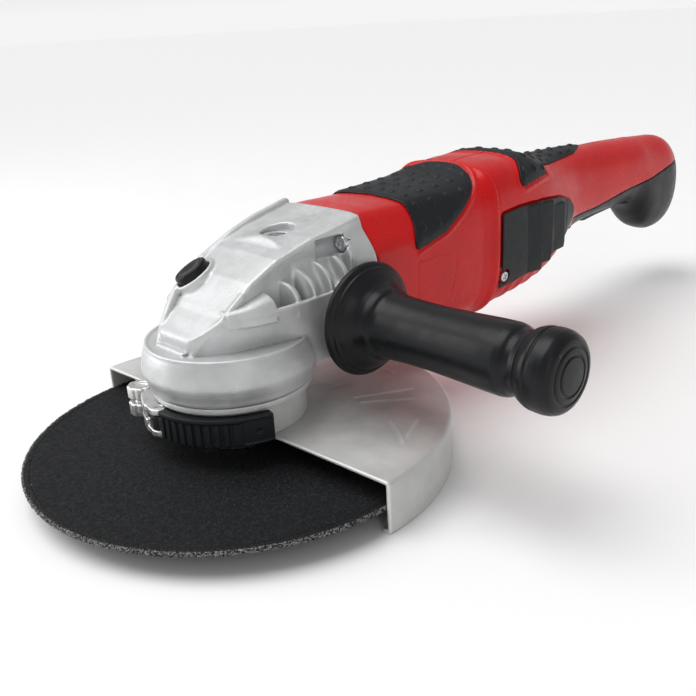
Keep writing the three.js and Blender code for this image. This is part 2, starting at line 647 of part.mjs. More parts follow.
function pinion() {
  const body = turned('y', [
    [0, TOOTH_INNER - 0.5], [3.2, TOOTH_INNER - 0.5],
    [TOOTH_INNER * (SLOPE - DEDENDUM / GEAR_PITCH_R), TOOTH_INNER],
    [TOOTH_OUTER * (SLOPE - DEDENDUM / GEAR_PITCH_R), TOOTH_OUTER + 0.6],
    [6.5, TOOTH_OUTER + 2], [6.5, 36], [0, 36],
  ], [0, 0], 22);
  const section = (y) => {
    const scale = y / GEAR_PITCH_R;
    const root = y * (SLOPE - DEDENDUM / GEAR_PITCH_R) - 0.8;
    const tip = y * (SLOPE + ADDENDUM / GEAR_PITCH_R);
    return [[0.8, root], [0.45, tip]].flatMap(([half, r]) => [
      new THREE.Vector3(half * scale, y, -r),
      new THREE.Vector3(-half * scale, y, -r),
    ]);
  };
  const teeth = Array.from({ length: PINION_TEETH }, (_, i) =>
    solid(tooth(section).rotateY((i * 2 * Math.PI) / PINION_TEETH)));
  const shaftHole = rod('y', 4 + GAP, 27, 40, [0, 0]);
  return join(body, ...teeth).subtract(shaftHole);
}
add(motor, 'pinion_gear', pinion(), GEAR_STEEL);

const BRUSH = { inner: 13.4, outer: 31, y: [142, 150], half: 5 };
['left', 'right'].forEach((name, i) => {
  const side = i === 0 ? -1 : 1;
  const brush = block(span(side * BRUSH.inner, side * BRUSH.outer), BRUSH.y, [-BRUSH.half, BRUSH.half]);
  const tube = block(span(side * 16, side * 37), [BRUSH.y[0] - 2, BRUSH.y[1] + 2], [-7.5, 7.5]);
  const channel = block(
    span(side * 10, side * 35),
    [BRUSH.y[0] - GAP, BRUSH.y[1] + GAP],
    [-BRUSH.half - GAP, BRUSH.half + GAP],
  );
  add(motor, `brush_${name}`, brush, CARBON);
  add(motor, `brush_holder_${name}`, tube.subtract(channel), COPPER);
});

// ---------------------------------------------------------------- rear handle

const rear = group(grinder);
const REAR_SKIN = [
  [REAR_START, 42, 38, 134.5],
  [205, 42.2, 40, 136],
  [225, 41.8, 42, 135.8],
  [242, 40.4, 44.8, 131.6],
  [258, 37.2, 48, 127.8],
  [270, 33.2, 50.8, 126],
  [285, 28, 56.5, 125.2],
  [300, 24, 63, 125],
  [324, 22.3, 66.8, 124.6],
  [334, 22, 68.8, 124.4],
  [366, 22, 70, 124],
  [396, 22, 69.4, 122.5],
  [404, 22, 60.5, 122.2],
  [418, 22, 47.5, 121.2],
  [430, 21.8, 42.2, 120.6],
  [444, 21.4, 40, 119.6],
  [455, 20.8, 40.4, 117.8],
  [465, 19, 44, 114.4],
  [472, 16.6, 50, 109.8],
  [477, 13.4, 58, 104],
  [481, 8, 70, 95],
];
const REAR_ROUNDNESS = 3;
const REAR_WALL = 2.8;
const REAR_FRONT_WALL = 185.5;
const REAR_ROOM_END = 472;
const LOWER_START = 297;
const SEAM = [[LOWER_START, 79], [335, 79.5], [370, 85], [413, 89.5], [450, 95], [500, 99]];
const TRIGGER_SLOT = [326, 402];
const LOCK_OFF_SLOT = [303.5, 323.7];
const SLOT_TOP = 79.5;

const below = (line, drop) => [
  ...line.map(([y, z]) => [y, z - drop]),
  [line.at(-1)[0], -FAR],
  [line[0][0], -FAR],
];

function rearSkin() {
  const outside = loft(REAR_SKIN, { roundness: REAR_ROUNDNESS });
  const hollow = loft(REAR_SKIN.slice(0, -1), { grow: -REAR_WALL, roundness: REAR_ROUNDNESS });
  const room = hollow.intersect(block([-60, 60], [REAR_FRONT_WALL, REAR_ROOM_END], [0, 200]));
  return cut(outside, room, rod('y', 35.6, 160, 190, [0, SWIVEL_Z], 32));
}

const GLAND_Z = 80;
const RELEASE_Y = 200;
function upperShell() {
  const lowerPart = prism('x', below(SEAM, 0), -60, 60);
  const vents = Array.from({ length: 5 }, (_, i) =>
    block([-70, 70], [197 + i * 11, 202 + i * 11], [74, 96]));
  return cut(rearSkin(), lowerPart, rod('z', 7, 26, 44, [0, RELEASE_Y]), ...vents);
}

const shell = upperShell();
const halfSpace = (side) => block(span(side * 0.15, side * 80), [100, 600], [-100, 300]);
add(rear, 'handle_shell_left', shell.intersect(halfSpace(-1)), RED_PLASTIC);
add(rear, 'handle_shell_right', shell.intersect(halfSpace(1)), RED_PLASTIC);

function lowerGrip() {
  const start = [[LOWER_START + GAP, SEAM[0][1]], ...SEAM.slice(1)];
  const kept = prism('x', below(start, GAP), -60, 60);
  const triggerSlot = block([-9.6, 9.6], TRIGGER_SLOT, [30, SLOT_TOP]);
  const lockOffSlot = block([-7.4, 7.4], LOCK_OFF_SLOT, [30, SLOT_TOP]);
  const glandHole = rod('y', 8.3, 462, 500, [0, GLAND_Z], 16);
  return cut(rearSkin().intersect(kept), triggerSlot, lockOffSlot, glandHole);
}
add(rear, 'hand_guard', lowerGrip(), BLACK_PLASTIC);

const ventOutline = [
  [184.5, 105.5], [204, 107], [235, 106], [257, 103.5], [278, 97.5], [290, 90], [288, 80],
  [262, 68], [239, 64], [228, 60.5], [202, 57], [184.5, 55.5],
];
['left', 'right'].forEach((name, i) => {
  const reach = i === 0 ? [-70, -15] : [15, 70];
  const outline = prism('x', ventOutline, ...reach);
  add(rear, `vent_cover_${name}`, overlay(REAR_SKIN, REAR_ROUNDNESS, outline, 1.3), DARK_PLASTIC);
});

const rearPadPlan = mirroredX([
  [20, 220], [32, 212], [48, 203], [48, 244], [29, 245], [18, 258], [15, 286], [11, 314],
  [6, 330], [3, 336],
]);
const aboveLobes = prism('z', rearPadPlan, 115.5, 200);
add(rear, 'rear_soft_grip', overlay(REAR_SKIN, REAR_ROUNDNESS, aboveLobes, 1.4), SOFT_GRIP);

add(rear, 'handle_release_button', turned('z', [
  [0, 37], [6.2, 37], [6.5, 37.6], [6.5, 44.2], [8.5, 44.2], [8.5, 46], [0, 46],
], [0, RELEASE_Y], 16), DARK_PLASTIC);

const TRIGGER_PIN_AT = [396, 78.5];
function trigger() {
  const outline = [
    [327, 73.5], [329, 69], [336, 67.5], [354, 69], [398, 71.5], [400.5, 74], [400.5, 80],
    [396, 83], [350, 83], [336, 81], [327.5, 78],
  ];
  return cut(prism('x', outline, -9, 9), rod('x', 2.2, -20, 20, TRIGGER_PIN_AT, 16));
}
add(rear, 'trigger', trigger(), DARK_PLASTIC);
add(rear, 'trigger_pin', rod('x', 2, -9.4, 9.4, TRIGGER_PIN_AT, 16), STEEL);
add(rear, 'lock_off_slider', prism('x', [
  [309, 68], [311, 64.5], [319.5, 64.5], [323, 68.5], [323, 81], [309, 81],
], -7, 7), DARK_PLASTIC);

const switchBody = block([-11, 11], [328, 374], [92, 114]);
const plunger = block([-4, 4], [340, 350], [88.5, 93]);
add(rear, 'switch_module', switchBody.add(plunger), BLACK_PLASTIC);
add(rear, 'soft_start_module', block([-19, 19], [212, 250], [58, 76]), DARK_PLASTIC);
add(rear, 'cord_gland', turned('y', [
  [4.2, 464], [9.6, 464], [9.6, 468], [7.8, 468], [7.8, 481.5], [6.2, 483], [4.2, 483],
], [0, GLAND_Z]), BLACK_PLASTIC);

function cordClamp() {
  const bar = block([-12, 12], [446, 454], [83, 87]);
  return cut(bar, rod('y', 3.6, 440, 460, [0, 82.2], 16));
}
add(rear, 'cord_clamp', cordClamp(), DARK_PLASTIC);

export default grinder;
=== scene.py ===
"""Looks of a corded angle grinder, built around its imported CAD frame.

Shapes are worked out in millimetres in the frame's own axes (Z up along the spindle, Y along the
motor, X out to the side handle) and turned into metres when a mesh is made. Castings and mouldings
are signed distance fields, negative inside, that surface_net() turns into meshes; round pieces are
profiles turned round an axis.
"""
import itertools
import json
import math

import bmesh
import bpy
import numpy as np
from mathutils import Matrix, Vector


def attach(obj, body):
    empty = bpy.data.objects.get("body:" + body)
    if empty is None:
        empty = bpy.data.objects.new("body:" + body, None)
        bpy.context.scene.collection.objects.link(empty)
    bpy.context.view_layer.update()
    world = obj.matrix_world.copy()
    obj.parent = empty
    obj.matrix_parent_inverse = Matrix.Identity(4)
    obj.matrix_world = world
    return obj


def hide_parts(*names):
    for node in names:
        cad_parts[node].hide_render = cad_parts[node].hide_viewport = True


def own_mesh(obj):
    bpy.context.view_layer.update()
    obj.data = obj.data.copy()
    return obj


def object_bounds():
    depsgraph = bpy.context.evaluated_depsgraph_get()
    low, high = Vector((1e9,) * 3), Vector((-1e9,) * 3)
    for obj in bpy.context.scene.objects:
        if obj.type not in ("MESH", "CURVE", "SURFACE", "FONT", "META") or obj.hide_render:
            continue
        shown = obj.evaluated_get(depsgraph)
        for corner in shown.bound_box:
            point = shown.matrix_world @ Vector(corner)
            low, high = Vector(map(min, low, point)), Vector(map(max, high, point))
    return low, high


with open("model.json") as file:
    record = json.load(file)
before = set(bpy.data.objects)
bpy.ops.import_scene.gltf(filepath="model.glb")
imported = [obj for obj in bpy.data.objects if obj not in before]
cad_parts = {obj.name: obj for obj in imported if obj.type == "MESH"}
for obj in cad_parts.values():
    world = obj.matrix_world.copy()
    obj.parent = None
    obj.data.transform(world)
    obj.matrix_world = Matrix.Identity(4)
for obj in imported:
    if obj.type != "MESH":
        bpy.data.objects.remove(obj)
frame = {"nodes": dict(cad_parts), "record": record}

CAD_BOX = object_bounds()
MM = 0.001
MERGE_DISTANCE = 1e-6

# ---- driving dimensions, millimetres

DISC_R = 115
RIM_WIDTH = 4.5
DISC_LOW, DISC_HIGH = 9.5, 12.5
GUARD_R = 117.5
GUARD_SHEET = 1.6
GUARD_TOP = 26
GUARD_LOW = -1.5
COLLAR_R = 38.8
NECK_R = 36
BELT_TOP = 71.4
BELT_LOW = 46.8
FLANGE_BACK = 71
MOTOR_Z = 81
SWIVEL_Z = 86
MOTOR_FRONT, MOTOR_END = 71.3, 181.7
REAR_FRONT, REAR_END = 182, 477.5
GLAND_Z = 80
WALL = 2.8
HANDLE_Y, HANDLE_Z = 51, 76.5
LOCK_SEAT = np.array([-17.5, -5, 101])
LOCK_AXIS = np.array([-0.268, -0.4467, 0.8536])
FLANGE_SCREWS = [(30, 112), (34, 54), (-34, 54), (-30, 112)]
SLOTS = {part["node"]: part["material_slot"] for part in frame["record"]["subparts"]}
BODIES = {
    node: body for body, nodes in frame["record"]["behaviour"]["bodies"].items() for node in nodes
}


# ---- fields

def smin(a, b, k):
    """The nearer of two surfaces, joined by a fillet about k wide."""
    h = np.maximum(k - np.abs(a - b), 0) / k
    return np.minimum(a, b) - h * h * (k * 0.25)


def smax(a, b, k):
    return -smin(-a, -b, k)


def curve(t, points):
    """A smooth curve through (t, value) points that never overshoots, level past its ends."""
    ts, vs = (np.array(column, np.float32) for column in zip(*points))
    slopes = np.diff(vs) / np.diff(ts)
    m = np.concatenate(([0], (slopes[:-1] + slopes[1:]) / 2, [0]))
    m[1:-1][slopes[:-1] * slopes[1:] <= 0] = 0
    i = np.clip(np.searchsorted(ts, t) - 1, 0, len(ts) - 2)
    h = ts[i + 1] - ts[i]
    u = np.clip((t - ts[i]) / h, 0, 1)
    a, b = vs[i], vs[i + 1]
    near = (a * (1 + 2 * u) + h * m[i] * u) * (1 - u) ** 2
    return near + (b * (3 - 2 * u) - h * m[i + 1] * (1 - u)) * u * u


def line(t, points):
    return np.interp(t, *zip(*points)).astype(np.float32)


def polygon(u, v, corners):
    """Distance to a closed outline in a plane, negative inside it."""
    nearest, inside = 1e9, False
    for (a, b), (c, d) in zip(corners, corners[1:] + corners[:1]):
        along = np.clip(((u - a) * (c - a) + (v - b) * (d - b)) / ((c - a) ** 2 + (d - b) ** 2), 0, 1)
        nearest = np.minimum(nearest, (u - a - along * (c - a)) ** 2 + (v - b - along * (d - b)) ** 2)
        if b != d:
            reach = (u - a) * (d - b) - (v - b) * (c - a)
            inside = inside ^ (((v >= b) != (v >= d)) & ((reach < 0) == (d > b)))
    return np.where(inside, -1, 1) * np.sqrt(nearest)


def softened(corners, radius, steps=4, closed=True):
    """The corners of an outline replaced by short curves."""
    made = []
    n = len(corners)
    for i, here in enumerate(corners):
        if not closed and i in (0, n - 1):
            made.append(tuple(here))
            continue
        before, here, after = (np.array(corners[j % n], float) for j in (i - 1, i, i + 1))
        back, ahead = before - here, after - here
        start = here + back * min(0.45, radius / max(np.hypot(*back), 1e-6))
        end = here + ahead * min(0.45, radius / max(np.hypot(*ahead), 1e-6))
        for t in np.linspace(0, 1, steps + 1):
            made.append(tuple(start * (1 - t) ** 2 + here * 2 * t * (1 - t) + end * t * t))
    return made


def slab(t, low, high):
    return np.maximum(low - t, t - high)


def box(x, y, z, corner_a, corner_b):
    across, along, up = (slab(*side) for side in zip((x, y, z), corner_a, corner_b))
    return np.maximum(np.maximum(across, along), up)


def rod(u, v, t, centre, radius, low, high, soft=0.0):
    """A round bar along t, centred on (u, v)."""
    side = np.hypot(u - centre[0], v - centre[1]) - radius
    return smax(side, slab(t, low, high), soft) if soft else np.maximum(side, slab(t, low, high))


def bar(x, y, z, a, b, radius):
    """A round-ended bar between two points."""
    run = np.array(b, float) - a
    offset = x - a[0], y - a[1], z - a[2]
    along = np.clip(sum(p * d for p, d in zip(offset, run)) / (run @ run), 0, 1)
    return np.sqrt(sum((p - along * d) ** 2 for p, d in zip(offset, run))) - radius


def nearest_of(fields):
    return np.minimum.reduce(np.broadcast_arrays(*fields))


def path_bar(x, y, z, points, radius):
    return nearest_of([bar(x, y, z, a, b, radius) for a, b in zip(points, points[1:])])


# ---- meshes

def neighbour_mean(points, quads):
    """For each point, the mean of the centres of the quads round it."""
    centres = np.repeat(points[quads].mean(1), 4, axis=0)
    corner = quads.ravel()
    total = np.stack([np.bincount(corner, centres[:, i], len(points)) for i in range(3)], 1)
    return total / np.maximum(np.bincount(corner, minlength=len(points)), 1)[:, None]


def surface_net(field, low, high, cell, rounds=4):
    """The surface of a field as points in millimetres and quads, about cell wide each."""
    axes = [np.arange(a - cell, b + 2 * cell, cell, dtype=np.float32) for a, b in zip(low, high)]
    shape = [len(axis) for axis in axes]
    value = np.broadcast_to(
        field(axes[0][:, None, None], axes[1][None, :, None], axes[2][None, None, :]), shape)
    value = value.astype(np.float32)
    inside = value < 0
    count = np.zeros([n - 1 for n in shape], np.int8)
    for corner in itertools.product((0, 1), repeat=3):
        count += inside[tuple(slice(c, c + n) for c, n in zip(corner, count.shape))]
    active = (count > 0) & (count < 8)
    cells = np.argwhere(active)
    number = np.full(active.shape, -1, np.int64)
    number[active] = np.arange(len(cells))

    total, hits = np.zeros((len(cells), 3)), np.zeros((len(cells), 1))
    quads = []
    for axis in range(3):
        u, v = (axis + 1) % 3, (axis + 2) % 3
        for a, b in itertools.product((0, 1), repeat=2):
            start = np.insert([a, b], axis, 0)
            end = np.insert([a, b], axis, 1)
            first, second = value[tuple((cells + start).T)], value[tuple((cells + end).T)]
            crosses = (first < 0) != (second < 0)
            share = np.where(crosses, first / np.where(crosses, first - second, 1), 0)
            total += (cells + start + share[:, None] * (end - start)) * crosses[:, None]
            hits += crosses[:, None]
        last = tuple(-1 if i == axis else slice(None) for i in range(3))
        cut = inside != np.roll(inside, -1, axis)
        cut[last] = False
        edges = np.argwhere(cut)
        keep = (edges[:, u] > 0) & (edges[:, v] > 0)
        keep &= (edges[:, u] < shape[u] - 1) & (edges[:, v] < shape[v] - 1)
        edges = edges[keep]
        corners = []
        for du, dv in ((-1, -1), (0, -1), (0, 0), (-1, 0)):
            shift = np.zeros(3, int)
            shift[u], shift[v] = du, dv
            corners.append(number[tuple((edges + shift).T)])
        quad = np.stack(corners, 1)
        outward = inside[tuple(edges.T)]
        quads += [quad[outward], quad[~outward][:, ::-1]]
    points = total / hits * cell + [axis[0] for axis in axes]
    quads = np.concatenate(quads)

    step = 0.1 * cell
    for i in range(rounds):
        if i < rounds - 1:
            points = points + 0.45 * (neighbour_mean(points, quads) - points)
        rises = [field(*(points + s).T) - field(*(points - s).T) for s in np.eye(3) * step]
        gradient = np.stack(rises, 1) / (2 * step)
        steep = np.maximum((gradient ** 2).sum(1, keepdims=True), 0.2)
        move = -field(*points.T)[:, None] * gradient / steep
        size = np.maximum(np.sqrt((move ** 2).sum(1, keepdims=True)), 1e-9)
        points = points + move * np.minimum(1, 0.4 * cell / size)
    return points, quads


def scene_object(name, data):
    made = bpy.data.objects.new(name, data)
    bpy.context.scene.collection.objects.link(made)
    return made


def mesh_piece(name, points, faces):
    """A smooth-shaded object from points in millimetres and quads, with no doubled points."""
    mesh = bpy.data.meshes.new(name)
    mesh.vertices.add(len(points))
    mesh.vertices.foreach_set("co", (np.asarray(points, np.float32) * MM).ravel())
    faces = np.asarray(faces, np.int32)
    mesh.loops.add(faces.size)
    mesh.loops.foreach_set("vertex_index", faces.ravel())
    mesh.polygons.add(len(faces))
    starts = np.arange(0, faces.size, faces.shape[1], dtype=np.int32)
    mesh.polygons.foreach_set("loop_start", starts)
    mesh.update(calc_edges=True)
    piece = scene_object(name, mesh)
    work = bmesh.new()
    work.from_mesh(mesh)
    bmesh.ops.remove_doubles(work, verts=work.verts, dist=MERGE_DISTANCE)
    bmesh.ops.dissolve_degenerate(work, edges=work.edges, dist=MERGE_DISTANCE)
    loose = [v for v in work.verts if not v.link_faces]
    bmesh.ops.delete(work, geom=loose, context="VERTS")
    bmesh.ops.recalc_face_normals(work, faces=work.faces)
    work.to_mesh(mesh)
    work.free()
    mesh.shade_smooth()
    return piece


def grid_quads(rows, columns, rows_join=False, columns_join=True):
    """Quads over a grid of points, round again to the first row or column where they join."""
    i, j = np.meshgrid(
        np.arange(rows if rows_join else rows - 1),
        np.arange(columns if columns_join else columns - 1),
        indexing="ij",
    )
    k, m = (i + 1) % rows, (j + 1) % columns
    corners = [i * columns + j, i * columns + m, k * columns + m, k * columns + j]
    return np.stack(corners, -1).reshape(-1, 4)


def aimed(points, direction, at):
    """Points made along +Z, turned to look along a direction and moved to a place."""
    turn = Vector((0, 0, 1)).rotation_difference(Vector(direction)).to_matrix()
    return points @ np.array(turn).T + np.array(at)


AXIS_BASIS = {
    "x": Matrix(((0, 0, 1), (1, 0, 0), (0, 1, 0))),
    "y": Matrix(((1, 0, 0), (0, 0, 1), (0, 1, 0))),
    "z": Matrix.Identity(3),
}


def turned(name, profile, axis="z", centre=(0, 0), sides=96, ripple=None):
    """A profile of (radius, height) turned round an axis. One that stays off the axis is a ring."""
    ring = np.array(profile, float)
    closed = profile[0][0] > 0 and profile[-1][0] > 0
    angles = np.linspace(0, 2 * np.pi, sides, endpoint=False)
    r, a = np.meshgrid(ring[:, 0], angles, indexing="ij")
    h = np.broadcast_to(ring[:, 1:2], r.shape)
    if ripple:
        r, h = ripple(r, a, h)
    local = np.stack([r * np.cos(a) + centre[0], r * np.sin(a) + centre[1], h], -1).reshape(-1, 3)
    points = local @ np.array(AXIS_BASIS[axis]).T
    return mesh_piece(name, points, grid_quads(len(ring), sides, closed))


def netted(name, field, low, high, cell):
    return mesh_piece(name, *surface_net(field, low, high, cell))


def place(piece, *nodes):
    """Gives a piece the body, the slot and the material of the CAD nodes that it stands for."""
    first = nodes[0]
    piece.data.materials.clear()
    piece.data.materials.append(LOOKS[SLOTS[first]])
    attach(piece, BODIES[first])
    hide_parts(*nodes)
    return piece


def place_pair(stem, field, low, high, cell):
    """A right-hand piece and its mirror image across X, in place of a pair of nodes."""
    points, faces = surface_net(field, low, high, cell)
    place(mesh_piece(f"{stem}_right_moulded", points, faces), f"{stem}_right")
    place(mesh_piece(f"{stem}_left_moulded", points * [-1, 1, 1], faces[:, ::-1]), f"{stem}_left")


# ---- materials

def add_node(tree, kind, inputs=None, **settings):
    """A shader node whose inputs are sockets to link or plain values."""
    made = tree.nodes.new(kind)
    for key, value in settings.items():
        setattr(made, key, value)
    for key, value in (inputs or {}).items():
        if isinstance(value, bpy.types.NodeSocket):
            tree.links.new(value, made.inputs[key])
        else:
            made.inputs[key].default_value = value
    return made


class Shader:
    """A Principled material with textures laid out in the piece's own coordinates, in metres."""

    def __init__(self, name, colour, roughness, metallic=0.0):
        self.name = name
        self.material = bpy.data.materials.new(name)
        self.material.use_nodes = True
        self.tree = self.material.node_tree
        self.surface = self.tree.nodes["Principled BSDF"]
        self.set("Base Color", (*colour, 1))
        self.set("Roughness", roughness)
        self.set("Metallic", metallic)
        self.coordinates = self.node("ShaderNodeTexCoord").outputs["Object"]
        self.bump_out = None

    def set(self, name, value):
        self.surface.inputs[name].default_value = value

    def node(self, kind, inputs=None, **settings):
        return add_node(self.tree, kind, inputs, **settings)

    def stretched(self, x, y, z):
        inputs = {"Vector": self.coordinates, "Scale": (x, y, z)}
        return self.node("ShaderNodeMapping", inputs).outputs[0]

    def noise(self, size, detail=3.0, vector=None):
        """Noise with features about size metres across."""
        inputs = {"Vector": vector or self.coordinates, "Scale": 1 / size, "Detail": detail}
        return self.node("ShaderNodeTexNoise", inputs).outputs["Fac"]

    def cells(self, size, output="Distance", vector=None):
        inputs = {"Vector": vector or self.coordinates, "Scale": 1 / size}
        return self.node("ShaderNodeTexVoronoi", inputs).outputs[output]

    def spread(self, value, low, high, start=0.3, end=0.7):
        inputs = {"Value": value, "From Min": start, "From Max": end, "To Min": low, "To Max": high}
        return self.node("ShaderNodeMapRange", inputs).outputs[0]

    def link(self, name, socket):
        self.tree.links.new(socket, self.surface.inputs[name])

    def colour_between(self, value, first, second):
        """A mix of two colours, each of them plain or a socket."""
        ends = [c if isinstance(c, bpy.types.NodeSocket) else (*c, 1) for c in (first, second)]
        inputs = {0: value, 6: ends[0], 7: ends[1]}
        return self.node("ShaderNodeMix", inputs, data_type="RGBA").outputs[2]

    def edges(self, low=0.52, high=0.6):
        """1 along outer edges and 0 elsewhere."""
        pointiness = self.node("ShaderNodeNewGeometry").outputs["Pointiness"]
        return self.spread(pointiness, 0, 1, low, high)

    def bump(self, height, depth, strength=1.0):
        inputs = {"Height": height, "Distance": depth, "Strength": strength}
        if self.bump_out:
            inputs["Normal"] = self.bump_out
        self.bump_out = self.node("ShaderNodeBump", inputs).outputs[0]
        self.link("Normal", self.bump_out)


def metal(name, colour, roughness, grain=0.0009, depth=0.00005, worn=0.12, brushed=None,
          metallic=1.0):
    """Bare or lightly coated metal with grain, cloudy gloss and brighter edges."""
    s = Shader(name, colour, roughness, metallic)
    clouds = s.noise(0.02, 4)
    dark = [c * 0.86 for c in colour]
    light = [min(1, c * 1.08) for c in colour]
    tone = s.colour_between(s.spread(clouds, 0, 1), dark, light)
    edge = [min(1, c + worn) for c in colour]
    s.link("Base Color", s.colour_between(s.edges(0.515, 0.6), tone, edge))
    s.link("Roughness", s.spread(s.noise(0.004, 5), roughness - 0.07, roughness + 0.09))
    s.bump(s.noise(grain, 3), depth)
    if brushed:
        s.bump(s.noise(0.0012, 4, s.stretched(*brushed)), 0.00002, 0.6)
    return s


def plastic(name, colour, roughness, light=None, grain=0.0006, depth=0.00004, coat=0.0):
    """Moulded plastic: slightly uneven colour, a fine spark-eroded skin and scuffed edges."""
    s = Shader(name, colour, roughness)
    light = light or [min(1, c * 1.5 + 0.01) for c in colour]
    tone = s.colour_between(s.spread(s.noise(0.03, 5), 0, 1), colour, [c * 0.86 for c in colour])
    s.link("Base Color", s.colour_between(s.edges(0.53, 0.68), tone, light))
    s.link("Roughness", s.spread(s.noise(0.006, 6), roughness - 0.05, roughness + 0.08))
    s.set("Specular IOR Level", 0.24)
    s.set("Coat Weight", coat)
    s.set("Coat Roughness", 0.25)
    s.bump(s.noise(grain, 2), depth)
    return s


def cast_aluminium():
    """Half-dull casting with a pebbled skin in patches, and painted shade darkening its hollows."""
    s = metal("cast_aluminium", (0.60, 0.605, 0.61), 0.46, 0.0011, 0.00006, metallic=0.5)
    pebbles = s.cells(0.0013)
    patch = s.spread(s.noise(0.018, 3), 0, 1, 0.35, 0.65)
    rough_skin = s.node("ShaderNodeMath", {0: pebbles, 1: patch}, operation="MULTIPLY").outputs[0]
    s.bump(rough_skin, 0.00012, 0.8)
    bright = s.surface.inputs["Base Color"].links[0].from_socket
    # painted shade: where pointiness is low, in hollows and creases, the colour is mixed towards dark
    # grey
    s.link("Base Color", s.colour_between(s.edges(0.478, 0.42), bright, (0.2, 0.2, 0.205)))
    return s


def abrasive():
    """Resin-bonded grain under a fine glass web."""
    s = Shader("disc_black", (0.007, 0.008, 0.009), 0.72)
    s.set("Specular IOR Level", 0.2)
    grains = s.cells(0.0007, "Color")
    value = s.node("ShaderNodeSeparateColor", {0: grains}).outputs[0]
    grain = s.spread(value, 0, 1, 0.6, 1.0)
    tone = s.colour_between(grain, (0.005, 0.0055, 0.0065), (0.022, 0.023, 0.025))
    s.link("Base Color", tone)
    s.link("Roughness", s.spread(s.noise(0.003, 4), 0.62, 0.85))
    s.bump(s.noise(0.0006, 4), 0.00016)
    web = s.node("ShaderNodeTexChecker", {"Vector": s.coordinates, "Scale": 420.0}).outputs["Fac"]
    s.bump(web, 0.00003, 0.5)
    return s


def grit():
    """Dark resin that shows its bright grains only on the worn outer edge."""
    s = Shader("disc_grit", (0.15, 0.15, 0.155), 0.6)
    s.set("Specular IOR Level", 0.25)
    value = s.node("ShaderNodeSeparateColor", {0: s.cells(0.0006, "Color")}).outputs[1]
    flat = {0: s.stretched(1, 1, 0)}
    radius = s.node("ShaderNodeVectorMath", flat, operation="LENGTH").outputs["Value"]
    worn = s.spread(radius, 0, 1, (DISC_R - 1.6) * MM, (DISC_R - 0.6) * MM)
    share = s.spread(value, 0, 1, 0.35, 0.9)
    grains = s.colour_between(share, (0.006, 0.006, 0.007), (0.26, 0.26, 0.26))
    s.link("Base Color", s.colour_between(worn, (0.006, 0.0065, 0.0075), grains))
    s.link("Roughness", s.spread(value, 0.8, 0.4, 0, 1))
    s.bump(s.cells(0.001), 0.0004)
    return s


def wound_copper():
    s = metal("copper_wire", (0.72, 0.33, 0.16), 0.32)
    wires = s.node("ShaderNodeTexWave", {"Vector": s.coordinates, "Scale": 400.0, "Distortion": 0.4})
    s.bump(wires.outputs["Fac"], 0.0002)
    return s


SHADERS = (
    cast_aluminium(),
    metal("bright_steel", (0.62, 0.63, 0.65), 0.24, brushed=(1, 1, 12)),
    metal("dark_steel", (0.30, 0.30, 0.31), 0.35),
    metal("guard_steel", (0.57, 0.57, 0.56), 0.5, 0.0007, 0.00002, 0.2, (1, 14, 1), 0.25),
    metal("zinc_cast", (0.86, 0.86, 0.85), 0.30, 0.0008, 0.00006),
    abrasive(),
    grit(),
    plastic("red_plastic", (0.62, 0.004, 0.005), 0.30, (0.75, 0.04, 0.02), coat=0.06),
    plastic("soft_grip", (0.010, 0.012, 0.015), 0.48, (0.05, 0.054, 0.06), 0.0008, 0.00006),
    plastic("charcoal_plastic", (0.009, 0.011, 0.013), 0.40, (0.06, 0.064, 0.07)),
    plastic("black_plastic", (0.006, 0.0065, 0.008), 0.34, (0.05, 0.053, 0.06)),
    plastic("handle_black", (0.006, 0.0065, 0.008), 0.32, (0.04, 0.043, 0.05), 0.0005),
    wound_copper(),
    plastic("carbon", (0.03, 0.03, 0.032), 0.7),
)
LOOKS = {shader.name: shader.material for shader in SHADERS}

for node_name, node in frame["nodes"].items():
    node.data.materials.clear()
    node.data.materials.append(LOOKS[SLOTS[node_name]])

# ---- the body's outer shape

# y, half width, low z, high z
SKIN = [
    (71, 44, 44, 125.8), (85, 43.6, 40.5, 126.2), (100, 43, 38.5, 126.2), (120, 42.6, 38, 126.8),
    (140, 42.3, 38, 127.8), (155, 42.2, 38, 128.7), (165, 42, 38, 130.3), (175, 41.8, 38, 131.9),
    (182, 41.8, 38, 133.6), (205, 42, 40, 135.5), (225, 41.6, 42, 135.5), (245, 40, 45.3, 130.6),
    (258, 37.2, 48, 127.2), (270, 33.2, 50.8, 125.6), (285, 28, 56.5, 125), (300, 24, 63, 125),
    (312, 22.8, 66, 124.8), (334, 22, 68.8, 124.3), (366, 22, 70, 123.8), (400, 22, 69.4, 122.2),
    (408, 22, 63.5, 121.9), (415, 22, 55, 121.3), (423, 21.9, 47, 120.8), (433, 21.6, 42.4, 120.1),
    (444, 21.3, 40, 119.4), (454, 20.6, 40.6, 117.6), (463, 18.8, 44, 114), (469, 16.4, 50, 109.4),
    (473.5, 13, 58, 103.5), (477, 6, 72, 92),
]
SKIN_HALF, SKIN_LOW, SKIN_HIGH = ([(row[0], row[i]) for row in SKIN] for i in (1, 2, 3))
UPPER_POWER = [(71, 4.2), (182, 4.2), (238, 3.2), (300, 2.4), (486, 2.2)]
LOWER_POWER = [(71, 2.6), (120, 2.9), (235, 2.9), (300, 2.3)]
CREASE_OUT = [(71, 1.5), (90, 2), (130, 4), (172, 10), (486, 12)]


